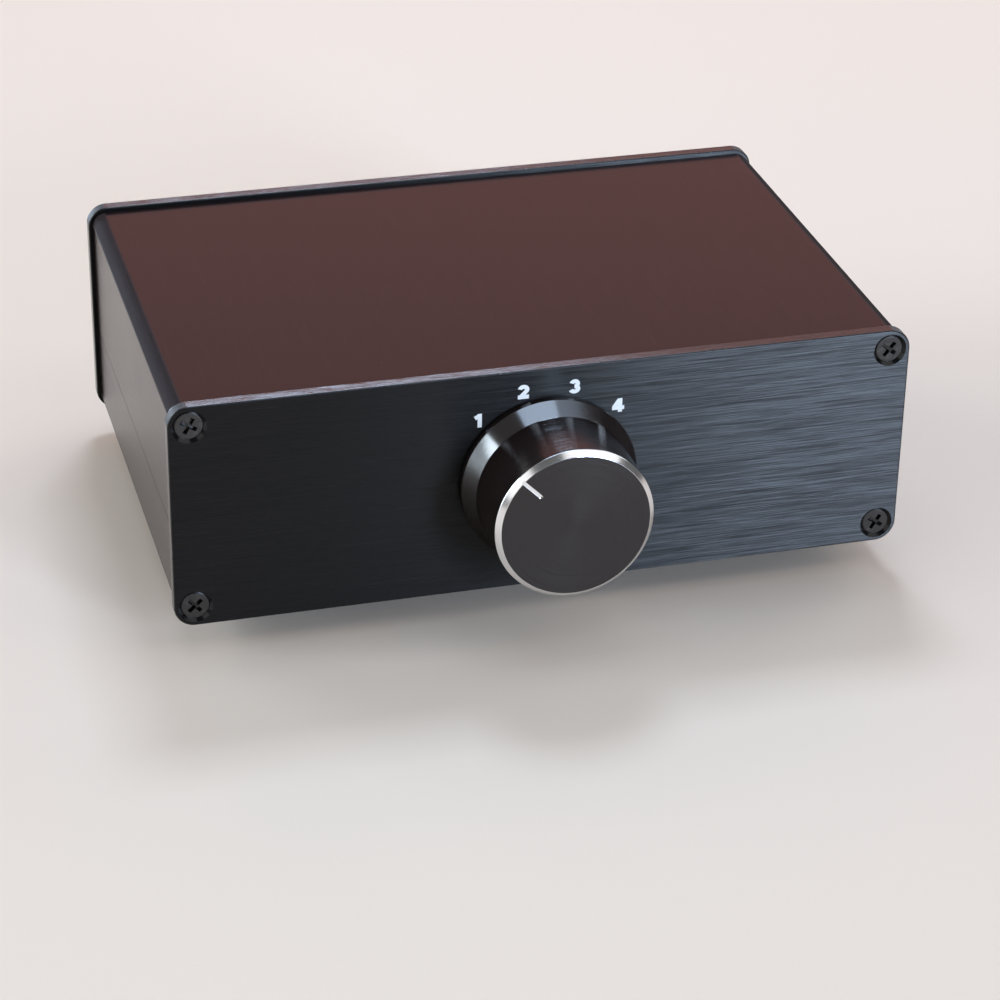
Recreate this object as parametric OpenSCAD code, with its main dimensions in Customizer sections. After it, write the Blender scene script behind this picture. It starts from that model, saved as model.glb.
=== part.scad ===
// Passive audio source selector: four stereo inputs, one common pair, one rotary switch.
// Seen from the front: X to the right, Y into the box, Z up. Z is 0 under the feet.

/* [Panels] */
// Width of the front and rear panels
panel_w = 160; // [150:1:200]
// Height of the front and rear panels
panel_h = 51; // [50:1:80]
// Thickness of the front and rear panels
panel_t = 3; // [2.5:0.5:4]
// Corner radius of the panels
panel_r = 4.5; // [2:0.5:6]
// Distance from each panel's edges to the centre of its screws
screw_inset = 4.5; // [4.3:0.1:6]

/* [Shells] */
// Distance between the two panels
case_depth = 100; // [80:1:160]
// How far the panels stand out past the shells, all round
panel_proud = 1; // [0.4:0.1:1.5]
// Wall of the two shells
shell_wall = 2; // [1.6:0.1:3]
// Radius along the outer edges of the shells
shell_r = 3; // [2:0.5:4]
// How far the seam on each side lies below mid-height
seam_drop = 4.7; // [0:0.1:8]
// Width of the seam line
seam_gap = 0.15; // [0.1:0.05:0.3]
// Height of the tongue behind the seam
tongue_h = 3; // [2:0.5:5]
// Gap at each end of the upper shell
top_gap = 0.4; // [0.1:0.1:0.8]
// Diameter of the screw channels in the shells' corners
channel_d = 6; // [5:0.5:7]

/* [Panel screws] */
// Thread diameter of the panel screws
screw_d = 3; // [2.5:0.5:3.5]
// Length of a panel screw
screw_l = 10; // [8:1:16]
// Head diameter of a panel screw
screw_head_d = 6; // [5.5:0.1:6.5]
// Diameter of the countersink at the panel's face
sink_d = 7.3; // [6.8:0.1:8]
// Span of the cross recess in a head
cross_span = 3.8; // [2.5:0.1:4]
// Width of the cross recess in a head
cross_w = 0.9; // [0.6:0.1:1]
// Depth of the cross recess in a head
cross_depth = 0.9; // [0.6:0.1:1]

/* [Feet] */
// Diameter of a rubber foot where it meets the case
foot_d = 14; // [10:1:18]
// Height of a rubber foot
foot_h = 7.4; // [4:0.1:10]
// Distance from the case's edges to the centre of a foot
foot_inset = 16; // [12:1:30]

/* [Knob] */
// Diameter of the knob's grip
knob_d = 34; // [30:0.5:40]
// Diameter of the skirt at the foot of the knob
skirt_d = 38.2; // [36:0.2:44]
// Height of the skirt's straight rim
skirt_rim_h = 1.4; // [0.8:0.2:2]
// Height of the skirt's cone
skirt_cone_h = 4; // [2:0.5:5]
// Height of the whole knob
knob_h = 21; // [19:0.2:24]
// Gap between the knob and the front panel
knob_gap = 0.6; // [0.4:0.1:1]
// Width of the bright ring cut round the face
knob_ring = 1.1; // [0.6:0.1:1.6]
// Length of the pointer line
pointer_l = 5.5; // [4:0.5:10]
// Width of the pointer line
pointer_w = 0.8; // [0.5:0.1:1.2]
// Depth of the pointer line
pointer_depth = 0.3; // [0.2:0.1:0.5]
// Thread diameter of the knob's set screw
set_screw_d = 3; // [2.5:0.5:4]
// Length of the knob's set screw
set_screw_l = 8; // [6:1:10]

/* [Rotary switch] */
// Diameter of the spindle
shaft_d = 6; // [5:0.5:6.5]
// Depth of the flat along the spindle
shaft_flat = 0.5; // [0.3:0.1:0.8]
// Outer diameter of the threaded bushing
bushing_d = 9; // [8.5:0.5:10]
// Width across the flats of the switch nut
switch_nut_af = 12; // [11:0.5:13]
// Thickness of the switch nut
switch_nut_t = 2.2; // [1.8:0.2:2.4]
// Diameter of the washer under the switch nut
switch_washer_d = 14.4; // [13:0.2:16]
// Thickness of the washer under the switch nut
switch_washer_t = 0.6; // [0.4:0.1:0.8]
// Outer diameter of the switch housing
switch_d = 26; // [25:0.5:30]
// Wall of the switch housing
switch_wall = 1.5; // [1:0.1:2]
// Thickness of the switch's front plate
switch_plate_t = 1.6; // [1.2:0.2:2.4]
// Thickness of the detent wheel
wheel_t = 2.4; // [2:0.2:3]
// Thickness of the rotor disc
rotor_t = 3.5; // [3:0.5:5]
// Thickness of the terminal base
base_t = 2; // [1.6:0.2:3]
// Length of a terminal behind the base
lug_l = 6; // [4:0.5:8]

/* [Phono jacks] */
// Distance between neighbouring inputs
jack_pitch = 19.1; // [17:0.1:22]
// Distance from input 1 to the common pair
common_gap = 28.6; // [19:0.1:34]
// Distance between the left row and the right row
row_pitch = 18.2; // [17:0.1:20]
// How far the middle of the two rows lies above mid-height
row_lift = 0.2; // [0:0.1:1]
// Diameter of the outer insulating washer
outer_washer_d = 14.5; // [13:0.1:16]
// Thickness of the outer insulating washer
outer_washer_t = 1.2; // [0.8:0.1:2]
// Width across the flats of a shell's hex flange
flange_af = 10.4; // [9.8:0.1:12]
// Thickness of a shell's hex flange
flange_t = 2; // [1.6:0.1:3]
// Diameter of the round neck between the hex flange and the marker ring
neck_d = 9.6; // [9.2:0.1:10]
// Length of the neck between the hex flange and the marker ring
neck_l = 2.3; // [1:0.1:3]
// Diameter of the coloured marker ring
marker_d = 10; // [9.6:0.1:10.8]
// Thickness of the coloured marker ring
marker_t = 1.2; // [0.8:0.1:2.5]
// Diameter of the collar behind the barrel
collar_d = 9.2; // [8.8:0.1:10]
// Length of the collar behind the barrel
collar_l = 1.5; // [1:0.1:3]
// Diameter of the barrel that a plug slides over
barrel_d = 8.2; // [8:0.1:8.4]
// Length of the barrel that a plug slides over
barrel_l = 3.8; // [3:0.1:9]
// Bore of the shell, which holds the insulator
socket_d = 5.2; // [5.1:0.1:5.8]
// Bore of the centre contact, which takes a plug's pin
contact_bore = 3.2; // [3.1:0.05:3.3]
// Thread diameter of the shell
thread_d = 8; // [7.6:0.1:8]
// Diameter of the inner insulating washer
inner_washer_d = 13.6; // [12:0.1:15]
// Thickness of the inner insulating washer
inner_washer_t = 1.2; // [0.8:0.1:2]
// Thickness of a ground tag
tag_t = 0.5; // [0.4:0.1:0.8]
// Width across the flats of a jack nut
jack_nut_af = 11; // [10.5:0.1:12]
// Thickness of a jack nut
jack_nut_t = 2.5; // [2:0.1:3]

/* [Wires] */
// Outer diameter of a signal wire
wire_d = 1.4; // [1:0.1:1.6]
// Diameter of the bare ground wire
bus_d = 1; // [0.8:0.1:1.2]

/* [Hidden] */
$fn = 64;

// Clearances: fixed fits, the turning spindle, other turning faces, and a cut's overrun
fit = 0.05;
run = 0.05;
turn_gap = 0.15;
cut = 0.1;

// Inputs, and the switch's angle from one input to the next
inputs = 4;
common = inputs + 1;
step_angle = 30;

// Case and feet
case_w = panel_w - 2 * panel_proud;
case_h = panel_h - 2 * panel_proud;
axis_z = foot_h + case_h / 2;
box_depth = case_depth + 2 * panel_t;
screw_x = panel_w / 2 - screw_inset;
screw_y = panel_h / 2 - screw_inset;
screw_spots = [for (x = [-1, 1], y = [-1, 1]) [x * screw_x, y * screw_y]];
front_screw_turns = [42, 60, 57, 51];
rear_screw_turns = [40, 65, 30, 82];
channel_slit = 1;
head_rim = 0.2;
foot_taper = 1;
foot_edge = 0.8;
head_drop = (sink_d - screw_head_d - head_rim) / 2 - fit;

// Knob and spindle, as heights in front of the front panel's outer face
knob_reach = knob_gap + knob_h;
skirt_top = knob_gap + skirt_rim_h + skirt_cone_h;
nut_top = switch_washer_t + switch_nut_t;
bushing_proud = 2.2;
bushing_top = nut_top + bushing_proud;
clip_t = 0.6;
clip_low = bushing_top + turn_gap;
clip_d = bushing_d + 1;
clip_groove = 0.6;
knob_room = 1;
knob_recess_top = clip_low + clip_t + knob_room;
knob_recess_d = max(switch_washer_d, switch_nut_af / cos(30)) + 2 * knob_room;
knob_face_t = 3.4;
shaft_top = knob_reach - knob_face_t;
set_screw_at = (knob_recess_top + shaft_top) / 2;
set_screw_socket = 1.5;
shaft_r = shaft_d / 2;
flat_r = shaft_r - shaft_flat;
rest_angle = -(inputs - 1) * step_angle / 2;
turn_angles = [for (i = [0:inputs - 1]) rest_angle + i * step_angle];

// Switch, as heights in front of the front panel's outer face, so they run below zero
plate_top = -panel_t;
plate_low = plate_top - switch_plate_t;
wheel_top = plate_low - turn_gap;
wheel_low = wheel_top - wheel_t;
rotor_space = 0.8;
rotor_top = wheel_low - rotor_space;
rotor_low = rotor_top - rotor_t;
blade_t = 0.6;
blade_low = rotor_low - blade_t;
contact_top = blade_low - turn_gap;
post_h = 3.6;
base_top = contact_top - post_h;
base_low = base_top - base_t;
lug_low = base_low - lug_l;
shaft_low = base_top + 1;
switch_r = switch_d / 2;
chamber_r = switch_r - switch_wall;
rotor_r = chamber_r - 0.7;
terminal_inset = 1.8;
terminal_r = rotor_r - terminal_inset;
terminal_d = 2.2;
track_w = 1.5;
track_post_d = 1.2;
track_r = shaft_r + 1 + track_w / 2;
lug_t = 0.5;
lug_hole = 1.1;
lug_edge = 0.2;
spring_room = 3.5;
wheel_r = chamber_r - spring_room;
notch_r = 1.3;
notch_at = wheel_r + notch_r / 2;
nose_r = notch_r - 0.3;
leaf_t = 0.35;
leaf_w = wheel_t * 0.75;
leaf_reach = sqrt(pow(chamber_r - 2 * fit, 2) - pow(notch_at + leaf_t, 2));
ear_r = 2.6;
ear_x = switch_r + ear_r - 0.4;
ear_screw_d = 2;
ear_head_d = 3.6;
ear_head_t = 1.2;
peg_d = 2.2;
peg_at = switch_r - spring_room;
peg_l = panel_t * 0.6;

// Jacks, as heights behind the rear panel's outer face, seen from behind
jack_span = (inputs - 1) * jack_pitch + common_gap;
flange_low = outer_washer_t;
flange_top = flange_low + flange_t;
marker_low = flange_top + neck_l;
groove_l = 0.4;
collar_low = marker_low + marker_t + groove_l;
barrel_low = collar_low + collar_l;
jack_reach = barrel_low + barrel_l;
barrel_edge = 0.25;
mouth_edge = 0.1;
marker_seat_d = thread_d + 0.8;
shoulder_d = thread_d + 1.2;
shoulder_l = panel_t / 2 - 0.1;
inner_face = -panel_t - inner_washer_t;
tag_face = inner_face - tag_t;
jack_nut_face = tag_face - jack_nut_t;
thread_spare = 1.8;
thread_low = jack_nut_face - thread_spare;
tag_ring_d = thread_d + 4;
tag_w = 3;
tag_reach = 11;
bus_reach = 9;
bus_link_x = -jack_span / 2 - bus_reach - bus_d;
insulator_drop = 1;
insulator_top = jack_reach - insulator_drop;
insulator_lip = 1;
contact_tip = insulator_top - insulator_lip - fit;
contact_wall = 0.4;
contact_d = contact_bore + 2 * contact_wall;
contact_end = 0.2;
pin_d = 2.4;
pin_l = 6;
pin_low = thread_low - pin_l;

// Places: the middle of the part's depth is Y 0
mid_y = (knob_reach - jack_reach) / 2;
front_y = mid_y - box_depth / 2;
rear_y = mid_y + box_depth / 2;

function jack_x(n) = n == common ? jack_span / 2 : -jack_span / 2 + (inputs - n) * jack_pitch;
function row_y(side) = row_lift + side * row_pitch / 2;
function jack_name(n, side) = str(n == common ? "common" : str("input_", n), side > 0 ? "_left" : "_right");

// Each jack: name, place seen from behind, and 1 for the left row or -1 for the right row
jacks = [for (side = [1, -1], n = [1:common]) [jack_name(n, side), jack_x(n), row_y(side), side]];

// Wire routes: how high each wire runs on its way, for each input and the common, from mid-height
wire_levels = [[9, 9, 9, 9, 4.8], [-6.4, -8.8, -13, -16.5, -4.8]];
wire_rings = 12;
wire_sides = 8;

// Shares of a wire's run: straight out of the jack, and rising or falling to its level
wire_lead = 0.15;
wire_rise = 0.25;

black_metal = "#1c1c1e";
dark_steel = "#2b2b2d";
bare_metal = "#b9bbbd";
gold = "#d9b25a";
white_nylon = "#f2f1ea";
phenolic = "#5a3a22";

// Frames: local X and Y lie in the panel as a viewer sees it, local Z points out of its face
module on_front() {
    translate([0, front_y, axis_z])
        rotate([90, 0, 0])
            children();
}

module on_rear() {
    translate([0, rear_y, axis_z])
        rotate([90, 0, 180])
            children();
}

module at_jack(j) {
    on_rear()
        translate([j[1], j[2], 0])
            children();
}

// Flat shape drawn out between two heights
module slab(low, high) {
    translate([0, 0, low])
        linear_extrude(high - low)
            children();
}

// Turn clockwise as seen from the front
module clockwise(angle) {
    rotate([0, 0, -angle])
        children();
}

module round_rect(w, h, r) {
    square([w - 2 * r, h], center = true);
    square([w, h - 2 * r], center = true);
    for (x = [-1, 1], y = [-1, 1])
        translate([x * (w / 2 - r), y * (h / 2 - r)])
            circle(r);
}

module ring(outer_d, inner_d) {
    difference() {
        circle(d = outer_d);
        circle(d = inner_d);
    }
}

module hexagon(across_flats) {
    circle(d = across_flats / cos(30), $fn = 6);
}

// Hex nut or flange with one end chamfered to its inscribed circle
module chamfered_hex(across_flats, low, high) {
    side_r = across_flats / 2;
    corner_r = side_r / cos(30);
    chamfer = (corner_r - side_r) * tan(30);
    intersection() {
        slab(low, high)
            hexagon(across_flats);
        rotate_extrude()
            polygon([
                [0, low], [corner_r, low], [corner_r, high - chamfer], [side_r, high], [0, high]
            ]);
    }
}

// Spindle section with its flat facing down
module flatted_circle(r, flat) {
    intersection() {
        circle(r);
        translate([-2 * r, -flat])
            square([4 * r, 4 * r]);
    }
}

// Case
module shell_section() {
    inner_r = max(shell_r - shell_wall, 0.5);
    difference() {
        intersection() {
            round_rect(case_w, case_h, shell_r);
            union() {
                difference() {
                    square([case_w, case_h], center = true);
                    round_rect(case_w - 2 * shell_wall, case_h - 2 * shell_wall, inner_r);
                }
                for (p = screw_spots)
                    translate(p)
                        circle(d = channel_d);
            }
        }
        for (p = screw_spots)
            translate(p) {
                circle(d = screw_d + 2 * fit);
                rotate(atan2(-sign(p.y), -sign(p.x)))
                    translate([0, -channel_slit / 2])
                        square([channel_d, channel_slit]);
            }
    }
}

// Strip on the inner half of each side wall, for the tongue or its seat
module side_strip(inner, outer, low, high) {
    for (side = [-1, 1])
        translate([side * (inner + outer) / 2, (low + high) / 2])
            square([outer - inner, high - low], center = true);
}

module top_shell() {
    color(black_metal)
        on_front()
            slab(-panel_t - case_depth + top_gap, -panel_t - top_gap)
                difference() {
                    intersection() {
                        shell_section();
                        translate([-case_w / 2, -seam_drop + seam_gap / 2])
                            square([case_w, case_h]);
                    }
                    side_strip(case_w / 2 - shell_wall - cut, case_w / 2 - shell_wall / 2,
                        -seam_drop - seam_gap, -seam_drop + tongue_h + fit);
                }
}

module bottom_shell() {
    color(black_metal)
        on_front()
            slab(-panel_t - case_depth, -panel_t) {
                intersection() {
                    shell_section();
                    translate([-case_w / 2, -seam_drop - seam_gap / 2 - case_h])
                        square([case_w, case_h]);
                }
                side_strip(case_w / 2 - shell_wall, case_w / 2 - shell_wall / 2 - fit,
                    -seam_drop - 1, -seam_drop + tongue_h);
            }
}

// Plate with four countersunk screw holes
module panel_plate() {
    hole_r = screw_d / 2 + 2 * fit;
    sink_r = sink_d / 2;
    difference() {
        slab(-panel_t, 0)
            round_rect(panel_w, panel_h, panel_r);
        for (p = screw_spots)
            translate(p)
                rotate_extrude()
                    polygon([
                        [0, cut], [sink_r + cut, cut], [hole_r, hole_r - sink_r],
                        [hole_r, -panel_t - cut], [0, -panel_t - cut]
                    ]);
    }
}

module front_panel() {
    color(black_metal)
        on_front()
            difference() {
                panel_plate();
                slab(-panel_t - cut, cut)
                    circle(d = bushing_d + 2 * fit);
                slab(-panel_t - cut, plate_top + peg_l + fit)
                    translate([0, peg_at])
                        circle(d = peg_d + 2 * fit);
            }
}

module rear_panel() {
    color(black_metal)
        on_rear()
            difference() {
                panel_plate();
                for (j = jacks)
                    slab(-panel_t - cut, cut)
                        translate([j[1], j[2]])
                            circle(d = shoulder_d + 2 * fit);
            }
}

module panel_screw(turn) {
    head_r = screw_head_d / 2;
    thread_r = screw_d / 2;
    head_low = thread_r - head_r - head_rim / 2;
    translate([0, 0, -head_drop])
        difference() {
            rotate_extrude()
                polygon([
                    [0, 0], [head_r - head_rim, 0], [head_r, -head_rim / 2], [thread_r, head_low],
                    [thread_r, -screw_l], [0, -screw_l]
                ]);
            slab(-cross_depth, cut)
                rotate(turn) {
                    square([cross_span, cross_w], center = true);
                    square([cross_w, cross_span], center = true);
                }
        }
}

module panel_screws(turns) {
    for (i = [0:3])
        translate(screw_spots[i])
            panel_screw(turns[i]);
}

module front_panel_screws() {
    color(dark_steel)
        on_front()
            panel_screws(front_screw_turns);
}

module rear_panel_screws() {
    color(dark_steel)
        on_rear()
            panel_screws(rear_screw_turns);
}

module foot(side, end) {
    foot_r = foot_d / 2;
    color("#141414")
        translate([side * (case_w / 2 - foot_inset), mid_y + end * (case_depth / 2 - foot_inset), 0])
            rotate_extrude()
                polygon([
                    [0, 0], [foot_r - foot_taper - foot_edge, 0], [foot_r - foot_taper, foot_edge],
                    [foot_r, foot_h], [0, foot_h]
                ]);
}

// Knob
module knob_turning() {
    grip_r = knob_d / 2;
    skirt_r = skirt_d / 2;
    bore_r = shaft_r + fit;
    rotate_extrude($fn = 128)
        polygon([
            [knob_recess_d / 2, knob_gap], [skirt_r, knob_gap], [skirt_r, knob_gap + skirt_rim_h],
            [grip_r, skirt_top], [grip_r, knob_reach - knob_ring], [grip_r - knob_ring, knob_reach],
            [0, knob_reach], [0, shaft_top + fit], [bore_r, shaft_top + fit],
            [bore_r, knob_recess_top], [knob_recess_d / 2, knob_recess_top]
        ]);
}

module pointer_cut() {
    line_top = knob_d / 2 - knob_ring + cut;
    line_low = knob_d / 2 - knob_ring - pointer_l;
    slab(knob_reach - pointer_depth, knob_reach + cut) {
        translate([-pointer_w / 2, line_low])
            square([pointer_w, line_top - line_low]);
        translate([0, line_low])
            circle(d = pointer_w);
    }
}

module knob() {
    color(black_metal)
        on_front()
            clockwise(rest_angle)
                difference() {
                    knob_turning();
                    pointer_cut();
                    translate([0, 0, set_screw_at])
                        rotate([90, 0, 0])
                            cylinder(d = set_screw_d + 2 * fit, h = skirt_d);
                }
}

module knob_set_screw() {
    color(dark_steel)
        on_front()
            clockwise(rest_angle)
                translate([0, -flat_r, set_screw_at])
                    rotate([90, 0, 0])
                        difference() {
                            cylinder(d = set_screw_d, h = set_screw_l);
                            translate([0, 0, set_screw_l - set_screw_d / 2])
                                linear_extrude(set_screw_d)
                                    hexagon(set_screw_socket);
                        }
}

// Rotary switch
module switch_outline() {
    circle(r = switch_r);
    square([2 * ear_x, 2 * ear_r], center = true);
    for (x = [-1, 1])
        translate([x * ear_x, 0])
            circle(r = ear_r);
}

module ear_holes() {
    for (x = [-1, 1])
        translate([x * ear_x, 0])
            circle(d = ear_screw_d + 2 * fit);
}

module switch_bushing() {
    color(bare_metal)
        on_front() {
            slab(plate_low, plate_top)
                difference() {
                    switch_outline();
                    circle(d = shaft_d + 2 * run);
                    ear_holes();
                }
            slab(plate_top, bushing_top)
                ring(bushing_d, shaft_d + 2 * run);
            slab(plate_top, plate_top + peg_l)
                translate([0, peg_at])
                    circle(d = peg_d);
        }
}

module switch_washer() {
    color(bare_metal)
        on_front()
            slab(0, switch_washer_t)
                ring(switch_washer_d, bushing_d + 2 * fit);
}

module switch_nut() {
    color(bare_metal)
        on_front()
            difference() {
                chamfered_hex(switch_nut_af, switch_washer_t, nut_top);
                slab(0, nut_top + cut)
                    circle(d = bushing_d + 2 * fit);
            }
}

module switch_shaft() {
    color(gold)
        on_front()
            clockwise(rest_angle) {
                difference() {
                    slab(plate_low, knob_recess_top)
                        circle(r = shaft_r);
                    slab(clip_low, clip_low + clip_t)
                        ring(2 * shaft_d, shaft_d - 2 * clip_groove);
                }
                slab(knob_recess_top, shaft_top)
                    flatted_circle(shaft_r, flat_r);
                slab(shaft_low, plate_low)
                    flatted_circle(shaft_r, flat_r);
            }
}

module shaft_clip() {
    color(dark_steel)
        on_front()
            slab(clip_low + fit, clip_low + clip_t - fit)
                difference() {
                    ring(clip_d, shaft_d - 2 * clip_groove + 2 * fit);
                    translate([-shaft_d / 4, 0])
                        square([shaft_d / 2, clip_d]);
                }
}

module detent_wheel() {
    color(bare_metal)
        on_front()
            slab(wheel_low, wheel_top)
                difference() {
                    circle(r = wheel_r);
                    clockwise(rest_angle)
                        flatted_circle(shaft_r + fit, flat_r + fit);
                    for (angle = [0:step_angle:359])
                        clockwise(angle)
                            translate([0, notch_at])
                                circle(r = notch_r);
                }
}

module detent_spring() {
    middle = (wheel_low + wheel_top) / 2;
    color(bare_metal)
        on_front()
            slab(middle - leaf_w / 2, middle + leaf_w / 2) {
                translate([-leaf_reach, notch_at])
                    square([2 * leaf_reach, leaf_t]);
                intersection() {
                    translate([0, notch_at])
                        circle(r = nose_r);
                    translate([-nose_r, notch_at - nose_r])
                        square([2 * nose_r, nose_r + leaf_t / 2]);
                }
            }
}

module switch_housing() {
    color(phenolic)
        on_front()
            slab(base_top, plate_low)
                difference() {
                    switch_outline();
                    circle(r = chamber_r);
                    ear_holes();
                }
}

module switch_rotor() {
    color("#e8e4d6")
        on_front()
            slab(rotor_low, rotor_top)
                difference() {
                    circle(r = rotor_r);
                    clockwise(rest_angle)
                        flatted_circle(shaft_r + fit, flat_r + fit);
                }
}

module rotor_contacts() {
    blade_in = track_r - track_w / 2;
    blade_out = terminal_r + terminal_d / 2;
    color(gold)
        on_front()
            for (pole = [0, 180])
                clockwise(rest_angle + pole)
                    slab(blade_low, rotor_low)
                        translate([-terminal_d / 2, blade_in])
                            square([terminal_d, blade_out - blade_in]);
}

module switch_base() {
    color(phenolic)
        on_front()
            slab(base_low, base_top)
                difference() {
                    switch_outline();
                    ear_holes();
                    for (pole = [0, 180]) {
                        for (angle = turn_angles)
                            clockwise(angle + pole)
                                translate([0, terminal_r])
                                    circle(d = terminal_d + 2 * fit);
                        clockwise(pole)
                            translate([0, track_r])
                                circle(d = track_post_d + 2 * fit);
                    }
                }
}

// Post through the base with a drilled solder lug behind it
module terminal(post_d, post_top) {
    lug_w = post_d - lug_edge;
    slab(base_low, post_top)
        circle(d = post_d);
    difference() {
        slab(lug_low, base_low)
            square([lug_w, lug_t], center = true);
        translate([0, 0, (lug_low + base_low) / 2])
            rotate([90, 0, 0])
                cylinder(d = min(lug_hole, lug_w - 2 * lug_edge), h = 2 * lug_t, center = true);
    }
}

// Arc that a rotor blade stays on from the first position to the last
module common_track() {
    outer_r = track_r + track_w / 2;
    spread = -rest_angle + 15;
    intersection() {
        ring(2 * outer_r, 2 * outer_r - 2 * track_w);
        polygon(concat([[0, 0]], [for (a = [-spread, 0, spread]) 2 * outer_r * [sin(a), cos(a)]]));
    }
}

module switch_terminals() {
    color(gold)
        on_front()
            for (pole = [0, 180]) {
                for (angle = turn_angles)
                    clockwise(angle + pole)
                        translate([0, terminal_r, 0])
                            terminal(terminal_d, contact_top);
                clockwise(pole) {
                    slab(contact_top - blade_t, contact_top)
                        common_track();
                    translate([0, track_r, 0])
                        terminal(track_post_d, contact_top - blade_t);
                }
            }
}

module switch_screws() {
    color(bare_metal)
        on_front()
            for (x = [-1, 1])
                translate([x * ear_x, 0, 0]) {
                    slab(base_low, plate_top - fit)
                        circle(d = ear_screw_d);
                    slab(base_low - ear_head_t, base_low)
                        circle(d = ear_head_d);
                }
}

// Phono jacks
module jack_shell(j) {
    socket_r = socket_d / 2;
    barrel_r = barrel_d / 2;
    color(gold)
        at_jack(j)
            difference() {
                union() {
                    chamfered_hex(flange_af, flange_low, flange_top);
                    rotate_extrude()
                        polygon([
                            [0, thread_low], [thread_d / 2, thread_low], [thread_d / 2, flange_low],
                            [neck_d / 2, flange_low], [neck_d / 2, marker_low],
                            [marker_seat_d / 2, marker_low], [marker_seat_d / 2, collar_low],
                            [collar_d / 2, collar_low], [collar_d / 2, barrel_low - barrel_edge],
                            [collar_d / 2 - barrel_edge, barrel_low], [barrel_r, barrel_low],
                            [barrel_r, jack_reach - barrel_edge], [barrel_r - barrel_edge, jack_reach],
                            [0, jack_reach]
                        ]);
                }
                rotate_extrude()
                    polygon([
                        [0, thread_low - cut], [socket_r, thread_low - cut],
                        [socket_r, jack_reach - mouth_edge], [socket_r + mouth_edge, jack_reach],
                        [socket_r + mouth_edge, jack_reach + cut], [0, jack_reach + cut]
                    ]);
            }
}

module jack_contact(j) {
    color(gold)
        at_jack(j)
            difference() {
                union() {
                    slab(thread_low, contact_tip)
                        circle(d = contact_d);
                    slab(pin_low, thread_low)
                        circle(d = pin_d);
                }
                slab(contact_end, contact_tip + cut)
                    circle(d = contact_bore);
            }
}

module jack_insulators() {
    color(white_nylon)
        for (j = jacks)
            at_jack(j) {
                slab(thread_low, insulator_top - insulator_lip)
                    ring(socket_d - 2 * fit, contact_d + 2 * fit);
                slab(insulator_top - insulator_lip, insulator_top)
                    ring(socket_d - 2 * fit, contact_bore);
            }
}

module outer_washers() {
    edge = outer_washer_t / 3;
    washer_r = outer_washer_d / 2;
    hole_r = thread_d / 2 + fit;
    color(white_nylon)
        for (j = jacks)
            at_jack(j)
                rotate_extrude()
                    polygon([
                        [hole_r, -shoulder_l], [shoulder_d / 2, -shoulder_l], [shoulder_d / 2, 0],
                        [washer_r, 0], [washer_r, outer_washer_t - edge],
                        [washer_r - edge, outer_washer_t], [hole_r, outer_washer_t]
                    ]);
}

module inner_washers() {
    color(white_nylon)
        for (j = jacks)
            at_jack(j) {
                slab(inner_face, -panel_t)
                    ring(inner_washer_d, thread_d + 2 * fit);
                slab(-panel_t, -panel_t + shoulder_l)
                    ring(shoulder_d, thread_d + 2 * fit);
            }
}

module ground_tags() {
    color(bare_metal)
        for (j = jacks)
            at_jack(j)
                slab(tag_face, inner_face)
                    difference() {
                        union() {
                            circle(d = tag_ring_d);
                            translate([-tag_w / 2, j[3] > 0 ? 0 : -tag_reach])
                                square([tag_w, tag_reach]);
                        }
                        circle(d = thread_d + 2 * fit);
                        translate([0, j[3] * bus_reach])
                            circle(d = bus_d);
                    }
}

module jack_nuts() {
    color(gold)
        for (j = jacks)
            at_jack(j)
                difference() {
                    slab(jack_nut_face, tag_face)
                        hexagon(jack_nut_af);
                    slab(jack_nut_face - cut, tag_face + cut)
                        circle(d = thread_d + 2 * fit);
                }
}

module marker_rings(side) {
    for (j = jacks)
        if (j[3] == side)
            at_jack(j)
                slab(marker_low, marker_low + marker_t)
                    ring(marker_d, marker_seat_d + 2 * fit);
}

module red_marker_rings() {
    color("#d23a22")
        marker_rings(-1);
}

module black_marker_rings() {
    color("#161616")
        marker_rings(1);
}

// Wires
function smooth(t) = let (c = min(max(t, 0), 1)) c * c * (3 - 2 * c);
function unit(v) = v / norm(v);

// Point at share t of a wire that leaves its jack straight, runs at its level and enters its lug straight
function wire_point(from, to, level, t) =
    let (aside = smooth((t - wire_lead) / (1 - 2 * wire_lead)))
    let (first = smooth(t / wire_rise), second = smooth((t - 1 + wire_rise) / wire_rise))
    [
        from.x + (to.x - from.x) * aside,
        from.y + (to.y - from.y) * t,
        from.z + (level - from.z) * first + (to.z - level) * second
    ];

module wire(from, to, level) {
    last = wire_rings - 1;
    path = [for (i = [0:last]) wire_point(from, to, level, i / last)];
    ways = [for (i = [0:last]) i == 0 || i == last ? [0, -1, 0] : unit(path[i + 1] - path[i - 1])];
    points = [for (i = [0:last], k = [0:wire_sides - 1])
        let (across = unit(cross(ways[i], [0, 0, 1])), up = cross(across, ways[i]))
            let (a = 360 * k / wire_sides)
                path[i] + wire_d / 2 * (cos(a) * across + sin(a) * up)];
    walls = [for (i = [0:last - 1], k = [0:wire_sides - 1])
        let (a = i * wire_sides + k, b = i * wire_sides + (k + 1) % wire_sides)
            each [[a, b, a + wire_sides], [b, b + wire_sides, a + wire_sides]]];
    ends = [[for (k = [wire_sides - 1:-1:0]) k], [for (k = [0:wire_sides - 1]) last * wire_sides + k]];
    polyhedron(points = points, faces = concat(walls, ends));
}

// Wires of one row, from each jack's pin to its switch terminal
module signal_wires(side) {
    pole = side > 0 ? 0 : 180;
    for (n = [1:common]) {
        place = n == common ? track_r : terminal_r;
        angle = pole + (n == common ? 0 : turn_angles[n - 1]);
        wire(
            [-jack_x(n), rear_y + pin_low, axis_z + row_y(side)],
            [place * sin(angle), front_y - lug_low, axis_z + place * cos(angle)],
            axis_z + wire_levels[side > 0 ? 0 : 1][n - 1]
        );
    }
}

module left_signal_wires() {
    color("#d8d8d8")
        signal_wires(1);
}

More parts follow.
